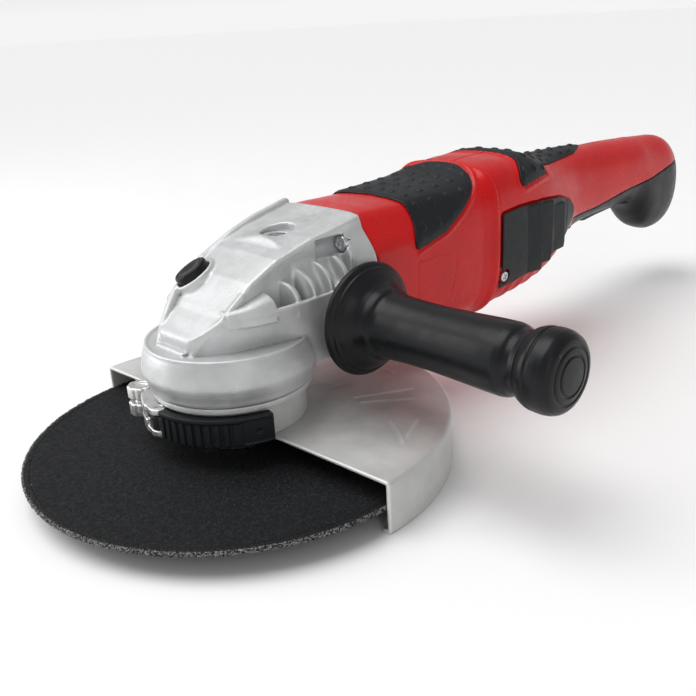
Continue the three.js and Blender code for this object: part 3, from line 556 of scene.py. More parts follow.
def body(x, y, z):
    """Motor and handle body: superellipse sections with a creased shoulder at the front."""
    half, low, high = curve(y, SKIN_HALF), curve(y, SKIN_LOW), curve(y, SKIN_HIGH)
    middle, rise = (low + high) / 2, (high - low) / 2
    above = (z - middle) / rise
    across = np.abs(x) / half
    power = np.where(above > 0, curve(y, UPPER_POWER), line(y, LOWER_POWER))
    out = (across ** power + np.abs(above) ** power) ** (1 / power) - 1
    round_shape = out * np.minimum(half, rise)
    ax, az, bx, bz = 0.66, 0.893, 0.86, 0.63
    run, drop = (bx - ax) * half, (az - bz) * rise
    length = np.hypot(run, drop)
    crease = ((np.abs(x) - ax * half) * drop + (z - middle - az * rise) * run) / length
    return smax(round_shape, crease - line(y, CREASE_OUT), 2.5)


def around(x, z):
    """How far round the body a point lies, from its top, in millimetres either way."""
    return np.degrees(np.arctan2(np.abs(x), z - SWIVEL_Z)) * 0.75


# ---- gear head

TOP_LINE = [
    (-34, 58), (-32.5, 72), (-29, 79), (-17, 91.5), (-3, 104), (15, 112.5), (38, 119), (71, 125.6),
    (71, 58),
]
CREST_HALF = [(-34, 14), (-29, 16.5), (-20, 24), (-12, 26.5), (10, 27.5), (40, 29), (71, 31)]
LEDGE_HALF = [(-34, 13.5), (-30, 17), (-15, 27), (5, 33), (23, 38), (45, 41.5), (60, 43)]
SHELF_HALF = [(-34, 13.5), (-27, 19.5), (-20, 26), (-8, 34), (7, 38.5), (22, 41), (60, 43)]
SHELF_TOP = [(-34, 80), (-20, 88), (-8, 90), (7, 91), (60, 92.5)]
BELT = [
    (46.8, 43.2), (48.3, 44.2), (50.5, 44.8), (54, 46.2), (58, 47.1), (62, 46.6), (66, 45.8),
    (70, 44.2), (71.4, 43),
]
LEFT_RIB = [
    (-13.5, -33.5, 70), (-16.5, -27.5, 81), (-20.5, -16, 94), (-25, 6, 106.5), (-28, 28, 114.8),
    (-30, 47, 120.2), (-31, 71, 125),
]
RIGHT_RIDGE = [(14, -32.5, 71), (17.5, -27.5, 79), (23.5, -19.5, 88), (26, -8, 98)]
RAMP_TOP = [(-22, 90.6), (5, 98)]
FIN_TOPS = [(14.5, 101), (25, 104.3), (36, 107), (47, 109)]


def lock_local(x, y, z):
    """Distance from the lock button's axis, and height along it from the seat."""
    offset = x - LOCK_SEAT[0], y - LOCK_SEAT[1], z - LOCK_SEAT[2]
    height = sum(p * d for p, d in zip(offset, LOCK_AXIS))
    square = sum(p * p for p in offset) - height * height
    return np.sqrt(np.maximum(square, 0)), height


def sail(side, z, half, top):
    """A quarter-oval plate that stands on the shelf against the crest."""
    across = np.maximum(side - 25, 0) / np.maximum(half - 25.5, 3)
    up = np.maximum((z - 90) / (top - 90), 0)
    return smax((np.sqrt(across ** 2.4 + up ** 2) - 1) * 9, 20 - side, 0.5)


def head_outside(x, y, z):
    side = np.abs(x)
    r = np.hypot(x, y)
    belt = smax(r - curve(z, BELT), slab(z, BELT_LOW, BELT_TOP), 0.9)
    lip = smax(np.abs(r - 43.2) - 0.9, slab(z, BELT_TOP - 1, BELT_TOP + 0.7), 0.8)
    belt = smin(belt, lip, 0.6)
    crown = 0.6 * np.minimum((x / 27) ** 2, 1.5)
    front = smax(polygon(y, z + crown, TOP_LINE), side - curve(y, CREST_HALF), 2.0)
    climb = np.clip((z - BELT_TOP) / 19, 0, 1.1)
    shelf = curve(y, SHELF_HALF)
    flank_half = curve(y, LEDGE_HALF) * (1 - climb) + shelf * climb
    flank = smax(smax(side - flank_half, z - curve(y, SHELF_TOP), 1.2), -33.5 - y, 3)
    flank = np.maximum(smax(flank, y - 66, 2), 56 - z)
    pocket = smax(box(side, y, z, (20, 4, 84.5), (60, 57, 130)), side - shelf + 2.6, 0.6)
    hood = smin(front, smax(flank, -pocket, 0.6), 0.8)
    hood = smin(hood, path_bar(x, y, z, LEFT_RIB, 2.6), 0.9)
    hood = smin(hood, path_bar(x, y, z, RIGHT_RIDGE, 1.2), 1.8)
    ramp = smax(sail(side, z, shelf, line(y, RAMP_TOP)), slab(y, -18, 5), 0.6)
    ramp = smax(ramp, side - shelf + 0.3, 0.6)
    hood = smin(hood, np.maximum(ramp, 84 - z), 0.5)
    for y_fin, top in FIN_TOPS:
        lean = 0.16 * (side - 26)
        plate = np.abs(y - y_fin - 1.5 - lean) - 1.4
        fin = smax(sail(side, z, curve(np.float32(y_fin), SHELF_HALF), top), plate, 0.6)
        hood = smin(hood, np.maximum(fin, 84 - z), 0.5)
    section = body(x, np.float32(FLANGE_BACK), z)
    taper = line(y, [(58.5, -4.5), (FLANGE_BACK, 0)])
    collar = smax(section - taper, slab(y, 58.5, FLANGE_BACK), 1.6)
    plate = smax(box(side, y, z, (25.5, 56.3, 95), (38.5, 64, 121)), section + 3.2, 1.2)
    collar = smin(collar, plate, 0.8)
    neck = rod(x, z, y, (0, MOTOR_Z), 37.5, 25, 62, 3)
    boss = rod(y, z, side, (HANDLE_Y, HANDLE_Z), 17, 20, 50, 1.5)
    shape = smin(smin(hood, collar, 2.5), smin(neck, boss, 4), 3)
    lug = smax(box(x, y, z, (-13, -36.5, 68), (11, -30, 73.2)), belt - 40, 1)
    shape = smin(shape, lug, 0.8)
    return smin(shape, belt, 0.8)


# radius, low end and high end
SPINDLE_BORES = ((28.3, 54, 77), (33.8, 40, 55), (43.6, 30, BELT_LOW), (15.6, 76, 84), (8.6, 83, 96),
                 (5.6, 83, 98))
PINION_BORES = (9.8, 20, 40), (16.1, 37, 52), (34, 50, 80)
LOCK_BORES = (10.1, -5.5, 20), (5.3, -16, 0), (3.0, -34, 0)
THREAD_WAVE = 2 * np.pi / 1.8


def head_inside(x, y, z):
    """Everything bored out of the head: spindle, pinion, side threads, screws and lock button."""
    side = np.abs(x)
    thread = 0.35 * np.sin(z * THREAD_WAVE)
    side_thread = 0.35 * np.sin(side * THREAD_WAVE)
    tools = [
        box(x, y, z, (-22, 10, 66), (22, 34, 104)),
        rod(x, y, z, (0, 39), 5.6 + thread, 101, 130),
        rod(x, y, z, (0, 39), 9.6, 116.6, 140),
        rod(y, z, side, (HANDLE_Y, HANDLE_Z), 6.9 + side_thread, 36, 60),
    ]
    tools += [rod(x, y, z, (0, 0), *bore) for bore in SPINDLE_BORES]
    tools += [rod(x, z, y, (0, MOTOR_Z), *bore) for bore in PINION_BORES]
    for screw_x, screw_z in FLANGE_SCREWS:
        tools.append(rod(x, z, y, (screw_x, screw_z), 2.7, 50, 80))
        tools.append(rod(x, z, y, (screw_x, screw_z), 5.0, 40, 58.6))
    radius, height = lock_local(x, y, z)
    for bore, low, high in LOCK_BORES:
        tools.append(np.maximum(radius - bore, slab(height, low, high)))
    return nearest_of(tools)


def gear_housing(x, y, z):
    radius, height = lock_local(x, y, z)
    seat = smax(smax(radius - 11.9, slab(height, -12, 1.2), 1), 66 - z, 1)
    outside = smin(head_outside(x, y, z), seat, 2)
    return smax(outside, -head_inside(x, y, z), 0.5)


place(netted("gear_housing_cast", gear_housing, (-51, -50, 46), (51, 72, 128), 0.78), "gear_housing")


def phillips_screw(head_r, length):
    """A pan head with a cross recess, its face at z = 0 and its shank going down."""
    def field(x, y, z):
        r = np.hypot(x, y)
        dome = smax(r - head_r, np.sqrt(r * r + (z + 3.2 * head_r) ** 2) - 3.2 * head_r, 0.6)
        head = smax(dome, -2.9 - z, 0.4)
        turn = math.radians(24)
        u, v = x * math.cos(turn) + y * math.sin(turn), y * math.cos(turn) - x * math.sin(turn)
        taper = 0.55 + 0.16 * z
        cross = np.minimum(
            np.maximum(np.abs(u) - taper, np.abs(v) - 0.62 * head_r),
            np.maximum(np.abs(v) - taper, np.abs(u) - 0.62 * head_r),
        )
        cross = np.minimum(cross, r - 0.3 * head_r)
        shank = np.maximum(r - head_r * 0.52, slab(z, -length, -1))
        return smin(smax(head, -np.maximum(cross, -1.9 - z), 0.25), shank, 0.3)
    return surface_net(field, (-head_r, -head_r, -length), (head_r, head_r, 0.3), 0.22)


points, faces = phillips_screw(4.2, 28)
for i, (screw_x, screw_z) in enumerate(FLANGE_SCREWS, 1):
    moved = aimed(points, (0, -1, 0), (screw_x, 56, screw_z))
    place(mesh_piece(f"flange_screw_{i}", moved, faces), f"gear_housing_screw_{i}")


def lock_button(x, y, z):
    radius, height = lock_local(x, y, z)
    cap = smax(radius - 9.6, slab(height, -0.5, 5.4), 1.6)
    dish = np.sqrt(radius ** 2 + (height - 5.4 - 20) ** 2) - 21
    groove = np.hypot(radius - 7.4, height - 5.3) - 0.5
    stem = np.maximum(radius - 2.6, slab(height, -23, 0))
    return smin(smax(smax(cap, -dish, 0.8), -groove, 0.4), stem, 0.4)


button = netted("lock_button_cap", lock_button, (-32, -20, 80), (-4, 14, 112), 0.45)
place(button, "spindle_lock_button")

SPRING_LOW, SPRING_R, SPRING_WIRE, SPRING_TURNS = -15.2, 4.3, 0.5, 5


def lock_spring():
    """The button's return spring: wound wire whose ends taper off."""
    rows, sides = 40 * SPRING_TURNS, 10
    a = np.linspace(0, 2 * np.pi * SPRING_TURNS, rows)[:, None]
    b = np.linspace(0, 2 * np.pi, sides, endpoint=False)[None, :]
    thick = SPRING_WIRE * np.clip(np.minimum(a, a[-1] - a) * 3, 0.02, 1)
    r = SPRING_R + thick * np.cos(b)
    height = SPRING_LOW + 0.6 + 12.8 * a / a[-1] + thick * np.sin(b)
    local = np.stack([r * np.cos(a), r * np.sin(a), height], -1).reshape(-1, 3)
    points = aimed(local, LOCK_AXIS, LOCK_SEAT)
    return mesh_piece("lock_spring_wound", points, grid_quads(rows, sides))


spring = place(lock_spring(), "spindle_lock_spring")
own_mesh(spring)

COVER = softened([
    (13, 27), (NECK_R, 27), (NECK_R, 43.2), (42.8, 43.2), (43, 46.5), (33, 46.5), (33, 53.5),
    (23, 53.5), (23, 52.4), (20.1, 52.4), (20.1, 39.9), (13, 39.9),
], 0.5)
place(turned("bearing_cover_turned", COVER, sides=128), "bearing_cover")


# ---- spindle, disc and its clamps

def disc_ripple(r, a, h):
    return r, h + 0.05 * np.sin(5 * a + r * 0.11)


CORE_R = DISC_R - RIM_WIDTH
BORE_R = 11.2
core_top = [(r, DISC_HIGH) for r in np.linspace(CORE_R - 1, 13, 24)] + [(BORE_R, DISC_HIGH)]
core_edge = [(BORE_R, DISC_LOW), (CORE_R + 0.2, DISC_LOW), (CORE_R + 0.2, DISC_HIGH)]
core_profile = softened(core_edge, 0.3, closed=False) + core_top
place(turned("disc_core_pressed", core_profile, sides=180, ripple=disc_ripple), "disc_core")


def grit_ripple(r, a, h):
    chips = np.random.default_rng(7)
    outer = (r > CORE_R + 0.4) * 1.0
    radial = outer * (chips.random(r.shape) ** 2) * 0.7
    lift = outer * (chips.random(r.shape) - 0.5) * 0.5
    return r - radial, h + lift


rim_steps = np.linspace(0.3, RIM_WIDTH, 7)
RIM_PROFILE = [(CORE_R + r, DISC_LOW + 0.22 * r) for r in rim_steps]
RIM_PROFILE += [(DISC_R, 11), (DISC_R, 11.8)]
RIM_PROFILE += [(CORE_R + r, DISC_HIGH + 0.1) for r in rim_steps[::-1]]
place(turned("disc_rim_grit", RIM_PROFILE, sides=900, ripple=grit_ripple), "disc_rim")

THREAD_R, SHOULDER_Z = 7, 18.3
SPINDLE = softened([
    (0, 0), (6.4, 0), (THREAD_R, 0.6), (THREAD_R, SHOULDER_Z), (12, SHOULDER_Z), (12, 26), (8.5, 28),
    (8.5, 80.5), (5, 82.5), (5, 97), (0, 97),
], 0.3, closed=False)


def thread_ripple(r, a, h):
    """A 2 mm pitch cut in the threaded part."""
    cut = (h > 0.5) & (h < 18) & (np.abs(r - THREAD_R) < 0.1)
    return r - cut * 0.35 * (1 + np.sin(h * np.pi - a)), h


thread_rows = [(THREAD_R, h) for h in np.arange(0.8, 18, 0.33)]
thread_end = next(i for i, p in enumerate(SPINDLE) if p[1] > 2)
threaded = SPINDLE[:thread_end] + thread_rows + SPINDLE[thread_end:]
place(turned("spindle_turned", threaded, sides=64, ripple=thread_ripple), "spindle")
FLANGE = softened([
    (7.3, 10.2), (10.9, 10.2), (10.9, 12.7), (21, 12.7), (21, 16), (18, 18), (7.3, 18),
], 0.4)
place(turned("disc_flange_turned", FLANGE), "disc_flange")


def clamp_nut(x, y, z):
    r = np.hypot(x, y)
    shape = smax(r - line(z, [(3, 17.4), (5, 20), (10, 20)]), slab(z, 3, 9.4), 0.5)
    holes = np.minimum(np.hypot(np.abs(x) - 15, y), np.hypot(x, np.abs(y) - 15)) - 2.4
    step = np.maximum(np.abs(r - 10.5) - 1.2, z - 3.6)
    return smax(smax(shape, -np.minimum(np.maximum(holes, z - 7), step), 0.4), 7.3 - r, 0.4)


place(netted("clamp_nut_forged", clamp_nut, (-20.5, -20.5, 2.8), (20.5, 20.5, 9.6), 0.4), "clamp_nut")

# ---- disc guard

CUT_SLOPE, CUT_AT = 17 / 400, -8.0  # the straight front edge: its slope, and Y on the axis
GUARD_COLUMNS = 321


def guard_section():
    """Radius and height along the sheet's outside: top, shoulder, skirt and folded-in lip."""
    rounding = [(GUARD_R - 6, GUARD_TOP), (GUARD_R, GUARD_TOP), (GUARD_R, GUARD_TOP - 6)]
    lip = [(GUARD_R, GUARD_LOW + 3), (GUARD_R, GUARD_LOW), (GUARD_R - 5, GUARD_LOW)]
    outer = [(r, GUARD_TOP) for r in np.linspace(COLLAR_R - 2.2, GUARD_R - 7, 120)]
    outer += softened(rounding, 5, 8, False)[1:-1]
    outer += [(GUARD_R, h) for h in np.linspace(GUARD_TOP - 6, GUARD_LOW + 3, 8)]
    outer += softened(lip, 2, 4, False)[1:]
    return np.array(outer)


def guard_plate():
    """The section swept round the half of the disc that the guard covers."""
    outer = guard_section()
    steps = np.gradient(outer, axis=0)
    normals = np.stack([-steps[:, 1], steps[:, 0]], 1)
    normals /= np.hypot(*normals.T)[:, None]
    ring = np.concatenate([outer, (outer - normals * GUARD_SHEET)[::-1]])
    rows, columns = len(ring), GUARD_COLUMNS
    tilt = math.atan(CUT_SLOPE)
    half_angle = np.arcsin(np.clip(CUT_AT / ring[:, :1] * math.cos(tilt), -1, 1))
    share = np.linspace(0, 1, columns)[None, :]
    angle = (tilt + half_angle) * (1 - share) + (math.pi + tilt - half_angle) * share
    x, y = ring[:, :1] * np.cos(angle), ring[:, :1] * np.sin(angle)
    z = np.broadcast_to(ring[:, 1:], x.shape)
    pressed = guard_ribs(x, y) * (z > GUARD_TOP - 3)
    points = np.stack([x, y, z + pressed], -1).reshape(-1, 3)
    a = np.arange(len(outer) - 1)
    cap = np.stack([a, a + 1, rows - 2 - a, rows - 1 - a], -1) * columns
    faces = [grid_quads(rows, columns, True, False), cap, cap + columns - 1]
    return mesh_piece("guard_plate_pressed", points, np.concatenate(faces))


# strokes pressed up in the guard's top: two lines, a corner mark and an arrow
GUARD_STROKES = (
    ((15.9, 50.6), (20.5, 66.5)), ((38.3, 52.6), (55.1, 82.5)), ((45.8, 50.7), (64.2, 72.4)),
    ((23.6, 87.7), (24.8, 92.8)), ((24.8, 92.8), (32.1, 91.9)),
    ((73.8, 44.2), (84.2, 39)), ((84.2, 39), (95.9, 30.7)), ((84.3, 52.9), (93.7, 35.5)),
)


STROKE_RISE, STROKE_HALF = 0.9, 1.5


def guard_ribs(x, y):
    """How high the pressed strokes stand, on both halves of the guard."""
    raised = 0
    for a, b in GUARD_STROKES:
        away = bar(np.abs(x), y, np.zeros_like(x), (*a, 0), (*b, 0), 0)
        raised = np.maximum(raised, 1 - away / STROKE_HALF)
    return STROKE_RISE * np.clip(raised, 0, 1)


place(guard_plate(), "guard_plate")


def degrees_round(x, y):
    """Angle from -Y towards +X."""
    return np.degrees(np.arctan2(x, -y))


def on_circle(radius, degrees):
    angle = math.radians(degrees)
    return radius * math.sin(angle), -radius * math.cos(angle)


PIN_AT = on_circle(44.5, -7)
PIN_HOLE = 1.9
KNOB_AT = on_circle(51.5, -47)


def from_point(x, y, point):
    return np.hypot(x - point[0], y - point[1])


def wedge(x, y, start, end, radius):
    """Distance, about, to the sector between two angles, measured at a radius."""
    middle, half = (start + end) / 2, (end - start) / 2
    off = np.abs((degrees_round(x, y) - middle + 180) % 360 - 180)
    return (off - half) * math.radians(1) * radius


def guard_collar(x, y, z):
    r = np.hypot(x, y)
    band = smax(np.maximum(r - COLLAR_R, NECK_R + 0.6 - r), slab(z, GUARD_TOP + 0.1, 42), 0.5)
    return smax(band, -wedge(x, y, -32, -18, COLLAR_R), 0.6)


def clamp_block(x, y, z):
    r = np.hypot(x, y)
    block = smax(slab(r, COLLAR_R + 0.3, 49.5), wedge(x, y, -42, -15, 44), 1.2)
    block = smax(block, slab(z, 27, 42.5), 1.2)
    ear = smax(slab(r, COLLAR_R + 0.6, 49), wedge(x, y, -17, -8, 44), 0.6)
    pin = from_point(x, y, PIN_AT)
    ear = smin(ear, pin - 4.4, 0.8)
    ears = np.minimum(smax(ear, slab(z, 27, 30.5), 0.5), smax(ear, slab(z, 39, 42.5), 0.5))
    shape = smin(block, ears, 0.6)
    step = np.maximum(np.abs(z - 34.8) - 0.5, 47.9 - r)
    knob = from_point(x, y, KNOB_AT)
    room = np.maximum(knob - 8.3, np.minimum(slab(z, 20, 34.4), 35.6 - z))
    room = np.minimum(np.minimum(room, knob - 4.3), pin - PIN_HOLE)
    return smax(smax(shape, -step, 0.4), -room, 0.4)


def tension_knob(x, y, z):
    dx, dy = x - KNOB_AT[0], y - KNOB_AT[1]
    r = np.hypot(dx, dy)
    flute = 0.8 * np.abs(np.cos(np.arctan2(dy, dx) * 4.5)) ** 0.7
    wheel = r - 6.6 - flute
    wheels = np.minimum(smax(wheel, slab(z, 26.5, 34), 0.9), smax(wheel, slab(z, 36, 43.2), 0.9))
    hollow = np.maximum(r - 4, 42 - z)
    return smax(smin(wheels, np.maximum(r - 4, slab(z, 30, 40)), 0.3), -hollow, 0.5)


def clamp_lever(x, y, z):
    r = np.hypot(x, y)
    handle = smax(slab(r, 41.3, 47.2), wedge(x, y, -3, 78, 44), 1.0)
    handle = smax(handle, slab(z, 27, 42.4), 1.2)
    top_edge = smax(np.abs(r - 46.9) - 0.9, slab(z, 40.2, 42.6), 0.6)
    top_edge = smax(top_edge, wedge(x, y, -2.5, 77, 44), 0.6)
    handle = smin(handle, top_edge, 0.5)
    for i in range(9):
        centre = 3.5 + i * 5.9
        angle = wedge(x, y, centre - 1.3, centre + 1.3, 47)
        groove = np.maximum(np.maximum(angle, 45.9 - r), slab(z, 25, 39.4))
        handle = smax(handle, -groove, 0.35)
    panel = np.maximum(np.maximum(wedge(x, y, 58, 76, 47), 46.8 - r), slab(z, 28.2, 41))
    handle = smax(handle, -panel, 0.3)
    hole = np.hypot(from_point(x, y, on_circle(47, 68)), z - 34) - 1.3
    handle = smax(handle, -hole, 0.3)
    neck = np.maximum(np.maximum(slab(r, 42.4, 46.6), wedge(x, y, -6, 2, 44)), slab(z, 31, 38.5))
    pin = from_point(x, y, PIN_AT)
    eye = np.maximum(pin - 4.2, slab(z, 31, 38.5))
    shape = smin(handle, smin(neck, eye, 0.5), 0.6)
    keep = np.where(degrees_round(x, y) < -0.5, slab(z, 31, 38.5), -5)
    return smax(np.maximum(shape, keep), PIN_HOLE + 0.15 - pin, 0.2)


for piece_name, field, low, high, cell, node_name in (
    ("guard_collar_band", guard_collar, (-39.5, -39.5, 25.5), (39.5, 39.5, 42.5), 0.6, "guard_collar"),
    ("guard_clamp_block_cast", clamp_block, (-44, -50, 26), (0, -20, 43.5), 0.4, "guard_clamp_block"),
    ("tension_knob_cast", tension_knob, (-47, -45, 26), (-28, -26, 44), 0.35, "guard_tension_knob"),
    ("clamp_lever_moulded", clamp_lever, (-12, -49, 26), (49, -5, 43.5), 0.42, "guard_clamp_lever"),
):
    place(netted(piece_name, field, low, high, cell), node_name)
LEVER_PIN = softened([(0, 27.2), (1.8, 27.2), (1.8, 42.3), (0, 42.3)], 0.3, closed=False)
place(turned("lever_pin_turned", LEVER_PIN, centre=PIN_AT, sides=32), "guard_lever_pin")

# ---- side handle

SIDE = (HANDLE_Y, HANDLE_Z)
GRIP = softened([
    (7, 50.3), (15, 50.3), (22, 51), (28.8, 51.7), (30.2, 53.2), (30.3, 55), (29.4, 56.4),
    (27.9, 57.2), (27.7, 58.4), (26.4, 58.8), (25.2, 60.2), (23.2, 62), (21.2, 64), (19.6, 67),
    (19.2, 69), (18.6, 70.6), (17.5, 71.8), (17, 74), (16.3, 88), (16.2, 103), (16.7, 120),
    (17.4, 137), (17.5, 145.5), (16.9, 148.3), (15.8, 150.2), (15.5, 153.3), (16.1, 155.6),
    (16.3, 156.4), (11, 156.5), (11, 70), (7, 66),
], 0.8)
place(turned("side_grip_moulded", GRIP, "x", SIDE, 128), "side_handle_grip")
END_CAP = softened([
    (0, 156.8), (16.6, 156.8), (17.6, 157.4), (18.4, 159), (19.2, 161), (19.5, 163), (19, 163.6),
    (19, 164.2), (19.6, 164.8), (19.6, 168), (19.2, 171), (18, 173.6), (16.2, 175.2), (14, 175.8),
    (13.6, 175.3), (12.8, 175.3), (12.3, 176), (10, 176.4), (9.6, 175.8), (8.8, 175.8),
    (8.4, 176.6), (0, 176.9),
], 0.6, closed=False)
place(turned("side_end_cap_moulded", END_CAP, "x", SIDE, 128), "side_handle_end_cap")
STUD = softened([(0, 37), (5.8, 37), (6.7, 38), (6.7, 64), (0, 64)], 0.4, closed=False)
place(turned("side_stud_turned", STUD, "x", SIDE, 48), "side_handle_stud")

# ---- motor housing and its pad

PAD = softened([
    (-8, 110), (0, 110), (21.6, 107), (30.7, 107.4), (38.8, 106.7), (45.9, 103.5), (52.1, 102.2),
    (54.8, 104.5), (52.8, 115), (49.5, 130.4), (42.6, 146), (35.3, 159.3), (29.4, 166.7),
    (21.4, 172.5), (11.3, 176.9), (4.2, 177.8), (-8, 178),
], 2.2)
LABEL = softened([(104, 92.8), (139, 92.8), (139.7, 84.5), (134, 60), (104, 60)], 2)
FLARE = [
    (71, 0), (90, -0.4), (120, -0.8), (166, -0.8), (173, 0.4), (177, 1.8), (179.2, 2),
    (180.6, 1.2), (181.7, -0.6),
]


def motor_skin(x, y, z):
    shape = body(x, y, z) - line(y, FLARE)
    outline = polygon(around(x, z), y, PAD)
    lip = smax(shape - 0.9, np.abs(outline - 1.5) - 0.8, 0.8)
    lip = smax(lip, 124 - y - 0.35 * around(x, z), 1)
    shape = smin(shape, lip, 0.9)
    label = np.maximum(polygon(y, z, LABEL), 30 - np.abs(x))
    edge = np.abs(label) - 0.35
    return smax(shape, -np.maximum(edge, -shape - 0.5), 0.5)


def motor_housing(x, y, z):
    skin = motor_skin(x, y, z)
    shape = smax(skin, slab(y, MOTOR_FRONT, MOTOR_END), 1.0)
    neck = rod(x, z, y, (0, SWIVEL_Z), 35, 175, 191)
    tail = np.minimum(neck, rod(x, z, y, (0, SWIVEL_Z), 37.4, 188.5, 191))
    r = np.hypot(x, z - MOTOR_Z)
    room = np.maximum(body(x, y, z) + WALL, slab(y, 76, 156))
    rib = np.minimum(slab(y, 98, 101), slab(y, 118, 121))
    room = np.maximum(room, -np.maximum(rib, 34.5 - r))
    for boss_x, boss_z in FLANGE_SCREWS:
        room = np.maximum(room, -rod(x, z, y, (boss_x, boss_z), 5, 73, 87))
    tools = [
        room,
        np.maximum(r - 34.5, slab(y, 60, 157)),
        np.maximum(r - 11.1, slab(y, 150, 168)),
        rod(x, z, y, (0, SWIVEL_Z), 32, 170.5, 200),
        np.maximum(np.hypot(np.abs(x) - 16.3, np.abs(z - MOTOR_Z) - 16.3) - 8.5, slab(y, 150, 175)),
    ]
    tools += [rod(x, z, y, at, 2.6, 60, 86) for at in FLANGE_SCREWS]
    shape = np.minimum(shape, tail)
    return smax(shape, -nearest_of(tools), 0.4)


housing = netted("motor_housing_moulded", motor_housing, (-46, 71, 36), (46, 191.5, 137), 1.02)
place(housing, "motor_housing")


DOT_STEP, DOT_SLANT, DOT_R, DOT_RISE = 13.2, -0.2, 2.3, 0.75


def dimples(along, y, first, columns):
    """How high the pad's raised dots stand, on a slanted grid."""
    height = 0
    for column in columns:
        row = (y - first - DOT_SLANT * column + DOT_STEP / 2) % DOT_STEP - DOT_STEP / 2
        d = np.hypot(along - column, row * 1.25)
        height = np.maximum(height, DOT_RISE * np.clip(1.25 - (d / DOT_R) ** 2, 0, 1) ** 0.7)
    return height


def pad_shape(x, y, z, skin, corners, first, columns, rim, lift):
    """A soft crowned pad on a skin; its dots stop short of its rim."""
    along = around(x, z)
    outline = polygon(along, y, corners) + 0.25
    dots = np.where(outline < -rim, dimples(along, y, first, columns), 0)
    crown = 1.1 * np.clip(-outline / 4, 0, 1) ** 0.5
    return smax(smax(skin - lift - crown - dots, outline, 0.8), 0.25 - skin, 0.2)


def motor_pad(x, y, z):
    skin = body(x, y, z) - line(y, FLARE)
    return pad_shape(x, y, z, skin, PAD, 120.5, (0, 10, 20.5, 31.5, 43), 3.2, 0.5)


place(netted("motor_pad_moulded", motor_pad, (-46, 100, 95), (46, 180, 136), 0.62), "motor_soft_grip")

# ---- rear handle

SEAM_FRONT = 297
SEAM = [(SEAM_FRONT, 79), (335, 79.5), (370, 85), (413, 89.5), (450, 95), (486, 99)]
SIDE_PLANE = [(182, 41.4), (206, 41.2), (230, 40.2), (241, 39), (258, 36), (270, 32.8), (284, 40)]
VENT = softened([
    (184.5, 105.5), (204, 107), (235, 106), (257, 103.5), (278, 97.5), (290, 90), (288, 80),
    (262, 68), (239, 64), (228, 60.5), (202, 57), (184.5, 55.5),
], 2.5)
VENT_SCREW_Y, VENT_SCREW_Z = 188, 64
LOUVRES = (
    ((224.4, 105), (227.9, 60.7)),
    ((240.8, 103.7), (238.9, 64.6)),
    ((259.7, 98.8), (261.3, 68.5)),
)
REAR_PAD = softened([
    (-8, 221), (0, 221), (22.3, 216.6), (29.3, 209.8), (36.1, 205.2), (39.4, 209), (34.1, 243.6),
    (28, 243.8), (17.7, 286.5), (16.3, 294), (12.8, 313.8), (6.8, 326.3), (0, 337.7), (-8, 337.7),
], 2.5)


def rear_skin(x, y, z):
    shape = smax(body(x, y, z), np.abs(x) - line(y, SIDE_PLANE), 1.2)
    low_wave = 0.5 * np.sin((y - 180) * 2 * np.pi / 13) * np.clip((60 - z) / 8, 0, 1)
    low_wave = low_wave * ((y > 192) & (y < 268))
    return smax(shape + low_wave, slab(y, REAR_FRONT, REAR_END), 1.6)


def vent_field(x, y, z):
    return np.maximum(polygon(y, z, VENT), 18 - np.abs(x))


def rear_shell(x, y, z):
    """The right half of the handle's red shell."""
    skin = rear_skin(x, y, z)
    outline = polygon(around(x, z), y, REAR_PAD)
    lip = smax(smax(skin - 0.8, np.abs(outline - 1.4) - 0.8, 0.8), y - 262, 2)
    shape = smin(skin, lip, 0.8)
    bed = np.maximum(vent_field(x, y, z) - 0.5, -skin - 1.0)
    shape = smax(shape, -bed, 0.5)
    split = np.where(y > SEAM_FRONT, line(y, SEAM) - z, -50)
    shape = smax(shape, split, 0.8)
    rooms = [
        np.maximum(skin + WALL + 0.6, slab(y, 185.5, 468)),
        rod(x, z, y, (0, SWIVEL_Z), 35.6, 150, 190),
        rod(x, y, z, (0, 200), 7, 26, 44),
    ]
    rooms += [box(np.abs(x), y, z, (20, low, 74), (70, low + 5, 96)) for low in range(197, 242, 11)]
    return smax(smax(shape, -nearest_of(rooms), 0.4), 0.12 - x, 0.3)


place_pair("handle_shell", rear_shell, (-0.5, 181, 36), (46, 483, 138), 0.95)


def vent_cover(x, y, z):
    """A clip-in air cover with three stepped louvres and a screw well."""
    skin = rear_skin(x, y, z)
    outline = vent_field(x, y, z) + 0.3
    shape = smax(skin - 1.2, outline, 0.8)
    for (top_y, top_z), (low_y, low_z) in LOUVRES:
        past = y - low_y - (z - low_z) / (top_z - low_z) * (top_y - low_y)
        rise = 1.2 + 2.6 * np.clip(1 + past / 14, 0, 1)
        blade = smax(smax(skin - rise, slab(past, -14, 0), 0.5), slab(z, low_z - 1.2, top_z + 0.6), 0.5)
        shape = np.minimum(shape, blade)
        slot = smax(slab(past, 0.1, 2.2), slab(z, low_z + 1.5, top_z - 1.5), 0.3)
        shape = smax(shape, -np.maximum(slot, 0.3 - skin), 0.3)
    well = np.hypot(y - VENT_SCREW_Y, z - VENT_SCREW_Z) - 4.8
    shape = smax(shape, -np.maximum(well, 0.6 - skin), 0.5)
    return smax(shape, 0.3 - skin, 0.2)


place_pair("vent_cover", vent_cover, (18, 182, 50), (47, 294, 111), 0.62)
points, faces = phillips_screw(3.4, 4)
for side, cover in ((1, "right"), (-1, "left")):
    moved = aimed(points, (side, 0, -0.06), (side * 42.1, VENT_SCREW_Y, VENT_SCREW_Z))
    screw = mesh_piece(f"vent_cover_screw_{cover}", moved, faces)
    screw.data.materials.append(LOOKS["bright_steel"])
    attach(screw, "rear_handle")


